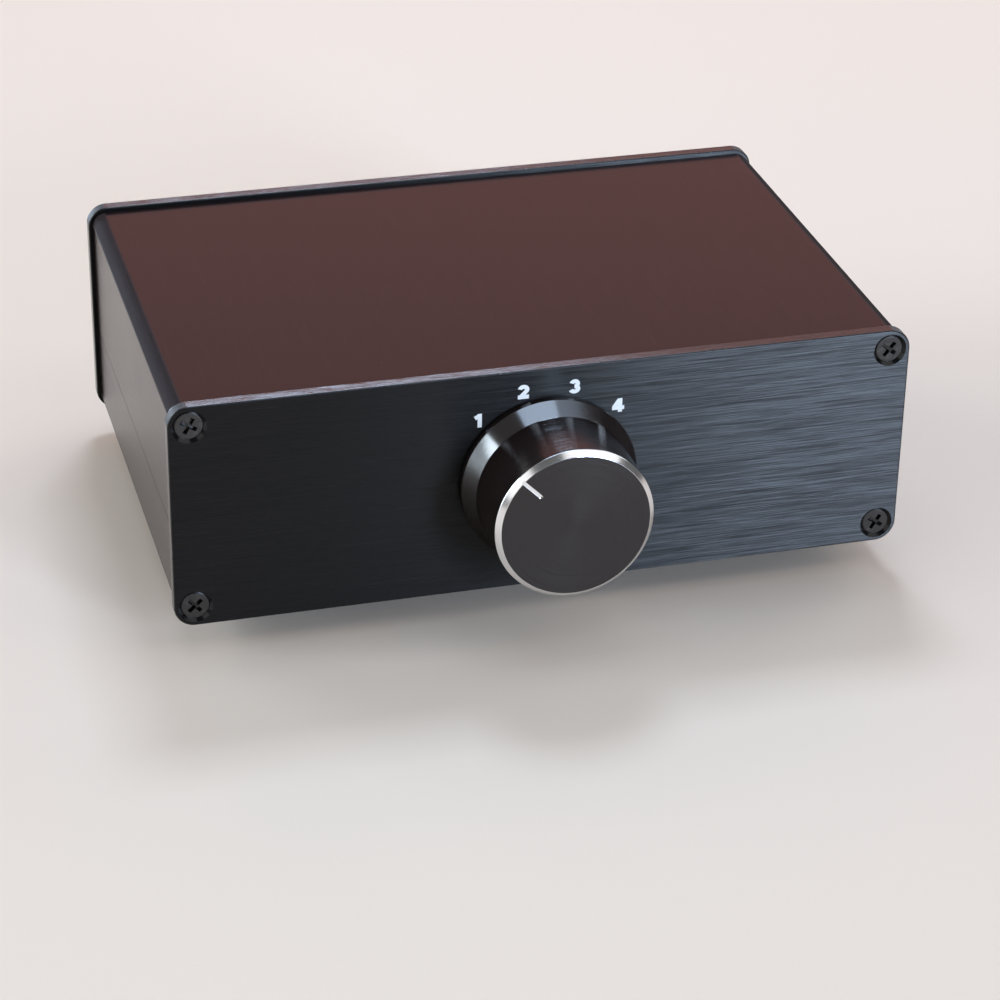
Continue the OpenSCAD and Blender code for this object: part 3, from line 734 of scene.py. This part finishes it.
class SELECTOR_OT_panels(bpy.types.Operator):
    """Model both panels with rounded edges and countersunk holes"""

    bl_idname = "selector.panels"
    bl_label = "Panels"

    def plate(self, sizes, name, holes):
        """A plate in its own frame: face at Z 0, with holes of (x, y, diameter)."""
        corner = Vector((PANEL_W / 2, PANEL_H / 2, 0))
        plate = block(name, -corner - Vector((0, 0, PANEL_T)), corner)
        with editing(plate, "EDGE"):
            pick(plate, "edges", lambda at, edge: abs(at.z + PANEL_T / 2) < MM)
            bpy.ops.mesh.bevel(offset=sizes.corner_r, segments=16, affect="EDGES")
            pick(plate, "edges", lambda at, edge: edge.calc_face_angle(0) > math.radians(60))
            bpy.ops.mesh.bevel(offset=sizes.edge, segments=4, affect="EDGES")
        past = MM
        for x in (-1, 1):
            for y in (-1, 1):
                at = Vector((x, y, 0)) * sizes.inset
                spot = Vector((x * corner.x, y * corner.y, 0)) - at
                sink_r, hole_r = sizes.sink_d / 2, sizes.hole_d / 2
                cutter = turned(
                    "Countersink",
                    [(sink_r + past, past), (hole_r, hole_r - sink_r), (hole_r, -PANEL_T - past)],
                )
                combine(plate, put(cutter, Matrix.Translation(spot)), "DIFFERENCE")
        for x, y, diameter in holes:
            cutter = turned("Hole", [(diameter / 2, past), (diameter / 2, -PANEL_T - past)])
            combine(plate, put(cutter, Matrix.Translation((x, y, 0))), "DIFFERENCE")
        smooth(plate)
        return plate

    def finish(self, plate, sizes, finishes, face):
        """Brushed faces, machined countersinks, worn corners and milled edges."""
        dress(plate, finishes, "case", "panel_metal", f"{face}_panel")
        spots = [
            Vector((x * (PANEL_W / 2 - sizes.inset), 0, MID_Z + z * (PANEL_H / 2 - sizes.inset)))
            for x in (-1, 1)
            for z in (-1, 1)
        ]

        def near_screw(at):
            return any(math.hypot(at.x - spot.x, at.z - spot.z) < sizes.sink_d / 2 for spot in spots)

        paint(plate, 1, lambda at, item: near_screw(at) and abs(item.normal.y) < 0.95)
        paint(plate, 2, lambda at, item: not near_screw(at) and 0.1 < abs(item.normal.y) < 0.97)
        paint(plate, 3, lambda at, item: not near_screw(at) and abs(item.normal.y) <= 0.1)

    def execute(self, context):
        sizes, colours = context.scene.selector_panels, context.scene.selector_colours
        finishes = (
            brushed_black(
                "Brushed panel", colours.panel, "X", 0, 2.8, 0.27, 0.34,
                Anisotropic=1, Anisotropic_Rotation=0.25,
            ),
            machined_black("Machined black", colours.panel, 0.3),
            worn_black("Worn edge", colours.panel, colours.cut),
            brushed_black("Milled edge", colours.panel, "X", 2, 0.1, 1, 0.2, 0.5),
        )
        front = put(self.plate(sizes, "front_plate", [(0, 0, sizes.bushing_hole_d)]), FRONT)
        self.finish(front, sizes, finishes, "front")
        spots = [REAR.inverted() @ middle(f"{jack}_shell") for jack in JACKS]
        holes = [(spot.x, spot.y, sizes.jack_hole_d) for spot in spots]
        rear = put(self.plate(sizes, "rear_plate", holes), REAR)
        self.finish(rear, sizes, finishes, "rear")
        return {"FINISHED"}


class SELECTOR_OT_screws(bpy.types.Operator):
    """Model the panel screws with their cross recesses"""

    bl_idname = "selector.screws"
    bl_label = "Panel screws"

    def screw(self, sizes):
        """One screw, with its head's face a little below Z 0."""
        head_r, thread_r, rim = sizes.head_d / 2, sizes.thread_d / 2, sizes.head_rim
        screw = turned(
            "Screw",
            [
                (head_r - rim, 0), (head_r - rim * 0.4, -rim * 0.12), (head_r, -rim / 2),
                (thread_r, thread_r - head_r - rim / 2), (thread_r, -sizes.screw_l),
            ],
            48,
        )
        for turn in (0, 90):
            half = Vector((sizes.cross_span, sizes.cross_w, 0)) / 2
            past = Vector((0, 0, 0.05 * MM))
            arm = block("Cross", -half - Vector((0, 0, sizes.cross_depth)), half + past)
            with editing(arm, "FACE"):
                pick(arm, "faces", lambda at, face: face.normal.z < -0.5)
                bpy.ops.transform.resize(value=(0.7, 0.75, 1))
            put(arm, Matrix.Rotation(math.radians(turn), 4, "Z"))
            combine(screw, arm, "DIFFERENCE")
        smooth(screw)
        return screw

    def execute(self, context):
        sizes, panel = context.scene.selector_screws, context.scene.selector_panels
        colours = context.scene.selector_colours
        finish = black_steel("Black steel", colours.screw)
        # Painted shade: the cross recesses take the panels' near-black, far darker than the steel round them.
        recess = machined_black("Cross recess", colours.panel, 0.5)
        across, up = PANEL_W / 2 - panel.inset, PANEL_H / 2 - panel.inset
        spots = [(x * across, y * up) for x in (-1, 1) for y in (-1, 1)]
        for side, face, turns in (("front", FRONT, (42, 60, 57, 51)), ("rear", REAR, (40, 65, 30, 82))):
            places = [
                face
                @ Matrix.Translation((x, y, -sizes.head_drop))
                @ Matrix.Rotation(math.radians(turn), 4, "Z")
                for (x, y), turn in zip(spots, turns)
            ]
            screws = copies(self.screw(sizes), f"{side}_screws", places)
            dress(screws, (finish, recess), "case", "dark_screws", f"{side}_panel_screws")
            outward = face.inverted()

            def in_recess(at, item):
                """Below a head's face and within the cross."""
                spot = outward @ at
                depth = -sizes.head_drop - spot.z
                near = min(math.hypot(spot.x - x, spot.y - y) for x, y in spots)
                return near < sizes.cross_span * 0.52 and 0.02 * MM < depth < sizes.cross_depth * 1.1

            # Painted shade: the faces inside each cross get the near-black recess finish.
            paint(screws, 1, in_recess)
        dress_node("knob_set_screw", finish)
        return {"FINISHED"}


class SELECTOR_OT_feet(bpy.types.Operator):
    """Model the four rubber feet"""

    bl_idname = "selector.feet"
    bl_label = "Rubber feet"

    def execute(self, context):
        sizes = context.scene.selector_feet
        finish = rubber("Rubber", context.scene.selector_colours.rubber)
        for node in FEET:
            low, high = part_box(node)
            radius = (high.x - low.x) / 2
            foot = turned(
                f"{node}_pad",
                [
                    (radius * 0.5, 0.3 * MM), (radius * 0.62, 0),
                    (radius - sizes.taper - sizes.edge, 0), (radius - sizes.taper, sizes.edge),
                    (radius, high.z),
                ],
                64,
            )
            round_edges(foot, 0.3 * MM, angle=20)
            smooth(foot)
            centre = middle(node)
            put(foot, Matrix.Translation((centre.x, centre.y, 0)))
            dress(foot, [finish], "case", "foot_rubber", node)
        return {"FINISHED"}


class SELECTOR_OT_knob(bpy.types.Operator):
    """Model the knob with its skirt, bright ring and pointer line"""

    bl_idname = "selector.knob"
    bl_label = "Knob"

    def execute(self, context):
        sizes, colours = context.scene.selector_knob, context.scene.selector_colours
        gap = FRONT_LOW.y - KNOB_HIGH.y
        reach = FRONT_LOW.y - KNOB_LOW.y
        skirt_r = (KNOB_HIGH.x - KNOB_LOW.x) / 2
        grip_r, bore_r, recess_r = sizes.grip_d / 2, sizes.bore_d / 2, sizes.recess_d / 2
        recess_top = FRONT_LOW.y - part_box("shaft_clip")[0].y + sizes.recess_room
        bore_top = FRONT_LOW.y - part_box("switch_shaft")[0].y + 0.05 * MM
        face_r = grip_r - sizes.ring
        knob = turned(
            "selector_knob",
            [
                (bore_r, bore_top), (bore_r, recess_top), (recess_r, recess_top), (recess_r, gap),
                (skirt_r, gap), (skirt_r, gap + sizes.rim_h),
                (grip_r, gap + sizes.rim_h + sizes.cone_h), (grip_r, reach - sizes.ring),
                (face_r, reach),
            ],
            160,
        )
        round_edges(knob, sizes.edge, 3, 10)
        pointer = self.pointer(sizes, face_r, reach)
        screw_hole = self.screw_hole(sizes, skirt_r)
        turn = Matrix.Rotation(-sizes.pointer_angle, 4, "Z")
        for cutter in (pointer, screw_hole):
            combine(knob, put(cutter, turn), "DIFFERENCE")
        smooth(knob, 25)
        self.finish(knob, sizes, colours, face_r, reach, turn)
        put(knob, FRONT)
        return {"FINISHED"}

    def pointer(self, sizes, face_r, reach):
        """Cutter for the pointer line: a slot with a round inner end."""
        half, inner = sizes.pointer_w / 2, face_r - sizes.pointer_l
        low, high = reach - sizes.pointer_depth, reach + MM
        slot = block("Pointer", (-half, inner, low), (half, face_r + sizes.ring / 2, high))
        with editing(slot, "EDGE"):
            pick(slot, "edges", lambda at, edge: abs(at.y - inner) < half and abs(at.x) > half / 2
                 and abs(edge.verts[0].co.z - edge.verts[1].co.z) > MM / 2)
            bpy.ops.mesh.bevel(offset=half * 0.98, segments=8, affect="EDGES")
        return slot

    def screw_hole(self, sizes, reach):
        """Cutter for the set screw's hole, through the side away from the pointer."""
        radius = sizes.set_screw_d / 2
        height = FRONT_LOW.y - middle("knob_set_screw").y
        hole = turned("Set screw hole", [(radius, 0), (radius, reach + MM)], 32)
        down = Matrix.Rotation(math.radians(90), 4, "X")
        return put(hole, Matrix.Translation((0, 0, height)) @ down)

    def finish(self, knob, sizes, colours, face_r, reach, turn):
        """Glossy skirt, lined grip and face, with bare metal on the ring and in the line."""
        finishes = (
            turned_black("Turned skirt", colours.knob, 0.9, 0.11, 0.12, 1.8),
            turned_black("Turned face", colours.knob, 0.46, 0.24, 1.5, 1.5),
            cut_metal("Cut metal", colours.cut),
            turned_black("Turned grip", colours.knob, 0.30, 0.14, 1, 1.8),
        )
        dress(knob, finishes, "selector", "knob_metal", "knob")
        upright = turn.inverted()
        back = reach - sizes.ring - sizes.edge / 2

        def bare(at, face):
            """On the ring, or below the face inside the pointer line."""
            radius = math.hypot(at.x, at.y)
            spot = upright @ at
            on_ring = at.z > back and radius > face_r - sizes.edge / 2
            in_line = abs(spot.x) < sizes.pointer_w * 0.55 and spot.y > face_r - sizes.pointer_l * 1.2
            return on_ring or (in_line and reach - sizes.ring < at.z < reach - 0.02 * MM)

        paint(knob, 3, lambda at, face: math.hypot(at.x, at.y) > face_r and abs(face.normal.z) < 0.2)
        paint(knob, 1, lambda at, face: face.normal.z > 0.95 and at.z > reach - sizes.ring)
        paint(knob, 2, bare)


class SELECTOR_OT_jacks(bpy.types.Operator):
    """Model the phono jacks with their washers, rings and insulators"""

    bl_idname = "selector.jacks"
    bl_label = "Phono jacks"

    def levels(self, sizes):
        """Heights above the rear panel of the ring, collar, barrel, tip and tail."""
        ring = sizes.washer_t + sizes.flange_t + sizes.neck_l
        collar = ring + sizes.marker_t + sizes.groove_l
        low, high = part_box(f"{JACKS[0]}_shell")
        return ring, collar, collar + sizes.collar_l, high.y - REAR_HIGH.y, low.y - REAR_HIGH.y

    def shell(self, sizes):
        """Gold shell: thread, hex flange, neck, ring seat, collar and barrel."""
        ring, collar, barrel, tip, tail = self.levels(sizes)
        thread_r, seat_r, neck_r = sizes.thread_d / 2, sizes.seat_d / 2, sizes.neck_d / 2
        barrel_r, socket_r = sizes.barrel_d / 2, sizes.socket_d / 2
        bead = sizes.collar_d / 2 - barrel_r
        rounding = [(barrel_r + bead * x, bead * y) for x, y in arc(0, 0, 1, 1, 90, 0)]
        shell = turned(
            "Shell",
            [
                (socket_r, tail), (thread_r, tail), (thread_r, sizes.washer_t),
                (neck_r, sizes.washer_t), (neck_r, ring), (seat_r, ring), (seat_r, collar),
                *((radius, collar + bead - high) for radius, high in rounding),
                *((radius, barrel - bead + high) for radius, high in reversed(rounding)),
                (barrel_r, tip - sizes.barrel_edge), (barrel_r - sizes.barrel_edge, tip),
                (socket_r, tip),
            ],
            64,
            hollow=True,
        )
        round_edges(shell, sizes.edge, 3)
        combine(shell, self.flange(sizes), "UNION")
        smooth(shell)
        return shell

    def flange(self, sizes):
        """Hex flange, chamfered to its inscribed circle on the outer side."""
        top = sizes.washer_t + sizes.flange_t
        side_r = sizes.flange_af / 2
        corner_r = side_r / math.cos(math.radians(30))
        chamfer = (corner_r - side_r) * math.tan(math.radians(30))
        hexagon = turned("Flange", [(corner_r, sizes.washer_t), (corner_r, top)], 6)
        with editing(hexagon, "EDGE"):
            pick(hexagon, "edges", lambda at, edge: abs(at.z - (sizes.washer_t + top) / 2) < MM / 10)
            bpy.ops.mesh.bevel(offset=sizes.edge * 1.5, segments=3, affect="EDGES")
        crown = turned(
            "Crown",
            [(corner_r + MM, sizes.washer_t - MM), (corner_r + MM, top - chamfer - MM * math.tan(math.radians(30))),
             (side_r * 0.985, top)],
            96,
        )
        combine(hexagon, crown, "INTERSECT")
        return hexagon

    def washer(self, sizes):
        """White outer washer with its bevelled rim and its shoulder in the panel."""
        radius, hole_r, edge = sizes.washer_d / 2, sizes.thread_d / 2 + sizes.fit, sizes.washer_t / 3
        washer = turned(
            "Washer",
            [
                (hole_r, -sizes.shoulder_l), (sizes.shoulder_d / 2, -sizes.shoulder_l),
                (sizes.shoulder_d / 2, 0), (radius, 0), (radius, sizes.washer_t - edge),
                (radius - edge, sizes.washer_t), (hole_r, sizes.washer_t),
            ],
            64,
            hollow=True,
        )
        round_edges(washer, sizes.edge, 3)
        smooth(washer)
        return washer

    def marker(self, sizes):
        """Coloured ring between the neck and the collar."""
        low = self.levels(sizes)[0]
        high = low + sizes.marker_t
        radius, hole_r = sizes.marker_d / 2, sizes.seat_d / 2 + sizes.fit
        ring = turned(
            "Ring",
            [(hole_r, low), (radius, low), (radius, high), (hole_r, high)],
            64,
            hollow=True,
        )
        round_edges(ring, 5 * sizes.edge, 5)
        smooth(ring)
        return ring

    def insulator(self, sizes):
        """White insulator round the contact, with a funnel and a lip in front of it."""
        tip, tail = self.levels(sizes)[3:]
        face = tip - sizes.insulator_drop
        radius, hole_r = sizes.socket_d / 2 - sizes.fit, sizes.contact_d / 2 + sizes.fit
        lip_r = sizes.lip_d / 2
        insulator = turned(
            "Insulator",
            [
                (hole_r, tail), (radius, tail), (radius, face), (sizes.funnel_d / 2, face),
                (lip_r, face - sizes.funnel_l), (lip_r, face - sizes.insulator_lip),
                (hole_r, face - sizes.insulator_lip),
            ],
            64,
            hollow=True,
        )
        round_edges(insulator, sizes.edge, 3)
        smooth(insulator)
        return insulator

    def execute(self, context):
        sizes, colours = context.scene.selector_jacks, context.scene.selector_colours
        gold = plating("Gold plate", colours.gold, 0.10, 0.05)
        nylon = moulded("White nylon", colours.nylon, 0.38, 2400, 0.00001, Subsurface_Weight=0.12,
                        Subsurface_Scale=0.0008)
        red = moulded("Red ring", colours.red, 0.24, 1800, 0.000004)
        black = moulded("Black ring", colours.black, 0.14, 1800, 0.000002, Specular_IOR_Level=1, IOR=1.9)
        # Painted shade: the contacts' gold is darkened to brown for the shade down in the socket.
        contact = plating("Contact", colours.contact, 0.3, 0.03)
        places = {}
        for jack in JACKS:
            spot = REAR.inverted() @ middle(f"{jack}_shell")
            places[jack] = REAR @ Matrix.Translation((spot.x, spot.y, 0))
        turns = dict(zip(JACKS, (14, 52, 7, 38, 24, 41, 19, 27, 3, 33)))
        pattern = self.shell(sizes)
        for jack in JACKS:
            only(pattern)
            bpy.ops.object.duplicate()
            spun = Matrix.Rotation(math.radians(turns[jack]), 4, "Z")
            shell = put(new_piece(f"{jack}_body"), places[jack] @ spun)
            dress(shell, [gold], "case", "gold_plate", f"{jack}_shell")
            dress_node(f"{jack}_contact", contact)
        bpy.data.objects.remove(pattern)
        washers = copies(self.washer(sizes), "white_washers", places.values())
        dress(washers, [nylon], "case", "white_nylon", "outer_washers")
        insulators = copies(self.insulator(sizes), "white_insulators", places.values())
        dress(insulators, [nylon], "case", "white_nylon", "jack_insulators")
        for row, word, finish in (("left", "black", black), ("right", "red", red)):
            spots = [places[jack] for jack in JACKS if jack.endswith(row)]
            rings = copies(self.marker(sizes), f"{word}_rings", spots)
            dress(rings, [finish], "case", f"{word}_ring", f"{word}_marker_rings")
        dress_node("jack_nuts", gold)
        dress_node("inner_washers", nylon)
        return {"FINISHED"}


class SELECTOR_OT_inside(bpy.types.Operator):
    """Finish the switch and the wires inside the case"""

    bl_idname = "selector.inside"
    bl_label = "Inside"

    def execute(self, context):
        colours = context.scene.selector_colours
        plated = plating("Nickel plate", colours.plated, 0.22, 0.06)
        gold = plating("Gold contacts", colours.gold, 0.16, 0.03)
        phenolic = moulded("Phenolic", colours.phenolic, 0.5, 1500, 0.00002)
        finishes = {
            plated: ("switch_bushing", "switch_washer", "switch_nut", "shaft_clip", "detent_wheel",
                     "detent_spring", "switch_screws", "ground_tags", "ground_bus_wire"),
            plating("Turned brass", colours.brass, 0.2, 0.08): ("switch_shaft",),
            gold: ("rotor_contacts", "switch_terminals"),
            phenolic: ("switch_housing", "switch_base"),
            moulded("Ivory", colours.ivory, 0.45, 1500, 0.00001): ("switch_rotor",),
            moulded("Pale wire", colours.wire, 0.4, 1200, 0.00001): ("left_signal_wires",),
            moulded("Red wire", colours.red_wire, 0.4, 1200, 0.00001): ("right_signal_wires",),
        }
        for finish, nodes in finishes.items():
            for node in nodes:
                dress_node(node, finish)
        return {"FINISHED"}


# Width of each character and its strokes, as middle lines in a space one unit high
STROKES = {
    "1": (0.62, [[(-0.24, 0.19), (0.09, 0.36)], [(0.09, -0.5), (0.09, 0.5)]]),
    "2": (0.84, [
        arc(0, 0.16, 0.25, 0.21, 170, -25) + [(-0.22, -0.38)], [(-0.38, -0.37), (0.38, -0.37)],
    ]),
    "3": (0.84, [
        arc(-0.02, 0.185, 0.22, 0.19, 165, -90), arc(-0.02, -0.19, 0.25, 0.19, 90, -165),
    ]),
    "4": (0.90, [
        [(0.08, 0.42), (-0.30, -0.14)], [(-0.42, -0.19), (0.42, -0.19)], [(0.13, -0.5), (0.13, 0.5)],
    ]),
    "C": (1.02, [arc(0.05, 0, 0.42, 0.37, 40, 320)]),
    "O": (1.14, [arc(0, 0, 0.44, 0.37, 0, 360)]),
    "M": (1.12, [
        [(-0.42, -0.5), (-0.42, 0.5)], [(0.42, -0.5), (0.42, 0.5)],
        [(-0.38, 0.40), (0, -0.30), (0.38, 0.40)],
    ]),
    "L": (0.90, [[(-0.30, -0.5), (-0.30, 0.5)], [(-0.42, -0.37), (0.44, -0.37)]]),
    "R": (1.02, [
        [(-0.36, -0.5), (-0.36, 0.5)],
        [(-0.38, 0.38)] + arc(0.14, 0.18, 0.22, 0.20, 90, -90) + [(-0.38, -0.02)],
        [(0.04, 0), (0.32, -0.44)],
    ]),
}


class SELECTOR_OT_lettering(bpy.types.Operator):
    """Print the plain numerals and channel letters on both panels"""

    bl_idname = "selector.lettering"
    bl_label = "Lettering"

    def stroke(self, sizes, height, path):
        """One stroke: a point drawn along its path, pulled up and given its width."""
        bpy.ops.object.select_all(action="DESELECT")
        bpy.ops.mesh.primitive_plane_add(size=height)
        stroke = new_piece("Stroke")
        points = [Vector((x, y, 0)) * height for x, y in path]
        with editing(stroke, "VERT"):
            bpy.ops.mesh.select_all(action="SELECT")
            bpy.ops.mesh.merge(type="CENTER")
            bpy.ops.transform.translate(value=points[0])
            for point, following in zip(points, points[1:]):
                step = {"value": following - point}
                bpy.ops.mesh.extrude_region_move(TRANSFORM_OT_translate=step)
            bpy.ops.mesh.select_all(action="SELECT")
            bpy.ops.mesh.remove_doubles(threshold=0.01 * MM)
            rise = {"value": (0, 0, sizes.paint)}
            bpy.ops.mesh.extrude_region_move(TRANSFORM_OT_translate=rise)
        width = sizes.weight * height
        apply_modifier(stroke, "SOLIDIFY", thickness=width, offset=0, use_even_offset=True)
        with editing(stroke, "FACE"):
            bpy.ops.mesh.select_all(action="SELECT")
            bpy.ops.mesh.normals_make_consistent(inside=False)
        return stroke

    def word(self, sizes, text, height, place):
        """A row of characters, centred on its place and a little sunk in the panel."""
        letters = []
        gap = sizes.spacing * height
        total = sum(STROKES[letter][0] * height for letter in text) + gap * (len(text) - 1)
        start = -total / 2
        for letter in text:
            width, paths = STROKES[letter]
            strokes = [self.stroke(sizes, height, path) for path in paths]
            for other in strokes[1:]:
                combine(strokes[0], other, "UNION")
            shift = Matrix.Translation((start + width * height / 2, 0, -sizes.paint / 3))
            letters.append(put(strokes[0], place @ shift))
            start += width * height + gap
        return letters

    def execute(self, context):
        sizes = context.scene.selector_lettering
        finish = printed_paint("White paint", context.scene.selector_colours.paint)
        letters = []
        for number in range(1, 5):
            angle = (number - 2.5) * sizes.step
            spot = Vector((math.sin(angle), math.cos(angle), 0)) * sizes.dial_r
            letters += self.word(sizes, str(number), sizes.dial_h, FRONT @ Matrix.Translation(spot))
        self.finish(letters, "front_lettering", finish)
        letters = []
        for name, text in zip(INPUTS, ("1", "2", "3", "4", "COM")):
            spot = REAR.inverted() @ middle(f"{name}_left_shell")
            place = Matrix.Translation((spot.x, sizes.row_y, 0))
            letters += self.word(sizes, text, sizes.row_h, REAR @ place)
        for row in ROWS:
            spot = REAR.inverted() @ middle(f"common_{row}_shell")
            for side in (-1, 1):
                place = Matrix.Translation((side * sizes.side_x, spot.y - sizes.side_drop, 0))
                letters += self.word(sizes, row[0].upper(), sizes.side_h, REAR @ place)
        self.finish(letters, "rear_lettering", finish)
        return {"FINISHED"}

    def finish(self, letters, name, material):
        """All the letters of one panel as one printed piece."""
        only(*letters)
        bpy.ops.object.join()
        lettering = new_piece(name)
        lettering.data.materials.clear()
        lettering.data.materials.append(material)
        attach(lettering, "case")


class SELECTOR_OT_stage(bpy.types.Operator):
    """Set up the floor, the light and the camera"""

    bl_idname = "selector.stage"
    bl_label = "Stage"

    def lamp(self, name, place, size, brightness, tint=(1, 1, 1)):
        """A soft rectangular lamp aimed at the selector."""
        place = Vector(place)
        back = (place - Vector((0, 0, MID_Z))).normalized()
        across = Vector((1, 0, 0)) if abs(back.x) < 0.8 else Vector((0, -1, 0))
        across = (across - back * across.dot(back)).normalized()
        bpy.ops.object.light_add(type="AREA", location=place)
        lamp = new_piece(name)
        lamp.data.shape = "RECTANGLE"
        lamp.data.size, lamp.data.size_y = size
        lamp.data.energy = brightness * math.pi * size[0] * size[1]
        lamp.data.color = tint
        lamp.visible_camera = False
        lamp.rotation_euler = Matrix((across, back.cross(across), back)).transposed().to_euler()

    def floor(self, settings, base):
        bpy.ops.object.select_all(action="DESELECT")
        bpy.ops.mesh.primitive_plane_add(size=settings.floor_size)
        floor = new_piece("floor")
        finish = Finish("Floor", Specular_IOR_Level=0.25)
        cloud = finish.noise(finish.where(), (3, 3, 3), 2)
        shade = finish.mix(cloud, rgba(base, 0.985), rgba(base, 1.015))
        floor.data.materials.append(finish.done(Base_Color=shade, Roughness=0.6 + 0.05 * cloud))

    def sky(self, strength):
        world = bpy.data.worlds.new("Studio")
        world.use_nodes = True
        background = world.node_tree.nodes["Background"]
        background.inputs["Color"].default_value = (1, 0.985, 0.965, 1)
        background.inputs["Strength"].default_value = strength
        bpy.context.scene.world = world

    def camera(self, settings):
        face = FRONT.translation
        place, aim = face + Vector(settings.camera), face + Vector(settings.aim)
        bpy.ops.object.camera_add(location=place)
        camera = new_piece("camera")
        camera.data.lens = settings.lens
        camera.data.sensor_width = 36
        camera.data.clip_start, camera.data.clip_end = 0.01, 50
        camera.rotation_mode = "QUATERNION"
        look = (aim - place).to_track_quat("-Z", "Y").to_matrix()
        roll = Matrix.Rotation(settings.roll, 3, "Z")
        camera.rotation_quaternion = (look @ roll).to_quaternion()
        bpy.context.scene.camera = camera

    def execute(self, context):
        settings = context.scene.selector_stage
        self.floor(settings, context.scene.selector_colours.floor)
        self.sky(settings.sky)
        blue, cold = (0.78, 0.90, 1), (0.61, 0.77, 1)
        pale, warm = (0.90, 0.98, 1), (1, 0.43, 0.38)
        self.lamp("overhead", (-0.025, 0.04, 1), (0.67, 0.3), 3.1, cold)
        self.lamp("overhead_right", (0.74, 0.04, 1), (0.86, 0.3), 1.1, cold)
        self.lamp("left_window", (-1.1, 0, 0.37), (0.6, 0.68), 7.5, blue)
        self.lamp("right_window", (0.585, -1.34, 0.3), (0.33, 0.6), 41, cold)
        self.lamp("left_fill", (-0.76, -0.6, 0.42), (0.5, 0.7), 1.1)
        self.lamp("top_front", (0.5, -0.42, 0.8), (1.1, 0.3), 1.25)
        self.lamp("top_edge", (0.12, 0.5, 0.8), (0.26, 0.2), 26, cold)
        self.lamp("back_panel", (0.35, 1.2, 0.6), (1.3, 0.8), 0.9, warm)
        self.lamp("rear_strip", (-0.55, 1.37, 0.0325), (0.33, 0.055), 225, cold)
        self.lamp("rear_left", (-0.85, 0.75, 0.55), (0.6, 0.6), 3.4, pale)
        self.lamp("rear_right", (0.98, 0.58, 0.55), (0.6, 0.6), 3.4, pale)
        self.camera(settings)
        context.scene.view_settings.view_transform = "Standard"
        return {"FINISHED"}


class SELECTOR_PT_pieces(bpy.types.Panel):
    """Buttons that make the selector, piece by piece"""

    bl_idname = "SELECTOR_PT_pieces"
    bl_label = "Audio source selector"
    bl_space_type = "VIEW_3D"
    bl_region_type = "UI"
    bl_category = "Selector"

    def draw(self, context):
        for operator in OPERATORS:
            self.layout.operator(operator.bl_idname)


OPERATORS = (
    SELECTOR_OT_case,
    SELECTOR_OT_panels,
    SELECTOR_OT_screws,
    SELECTOR_OT_feet,
    SELECTOR_OT_knob,
    SELECTOR_OT_jacks,
    SELECTOR_OT_inside,
    SELECTOR_OT_lettering,
    SELECTOR_OT_stage,
)
GROUPS = {
    "selector_panels": PanelSizes,
    "selector_screws": ScrewSizes,
    "selector_feet": FootSizes,
    "selector_knob": KnobSizes,
    "selector_jacks": JackSizes,
    "selector_lettering": LetteringSizes,
    "selector_colours": FinishColours,
    "selector_stage": StageSettings,
}
CLASSES = (*GROUPS.values(), *OPERATORS, SELECTOR_PT_pieces)


def register():
    for item in CLASSES:
        bpy.utils.register_class(item)
    for name, group in GROUPS.items():
        setattr(bpy.types.Scene, name, PointerProperty(type=group))


def unregister():
    for name in GROUPS:
        delattr(bpy.types.Scene, name)
    for item in reversed(CLASSES):
        bpy.utils.unregister_class(item)


def main():
    """Make every piece in order."""
    register()
    for operator in OPERATORS:
        group, name = operator.bl_idname.split(".")
        getattr(getattr(bpy.ops, group), name)()


if __name__ == "__main__":
    main()
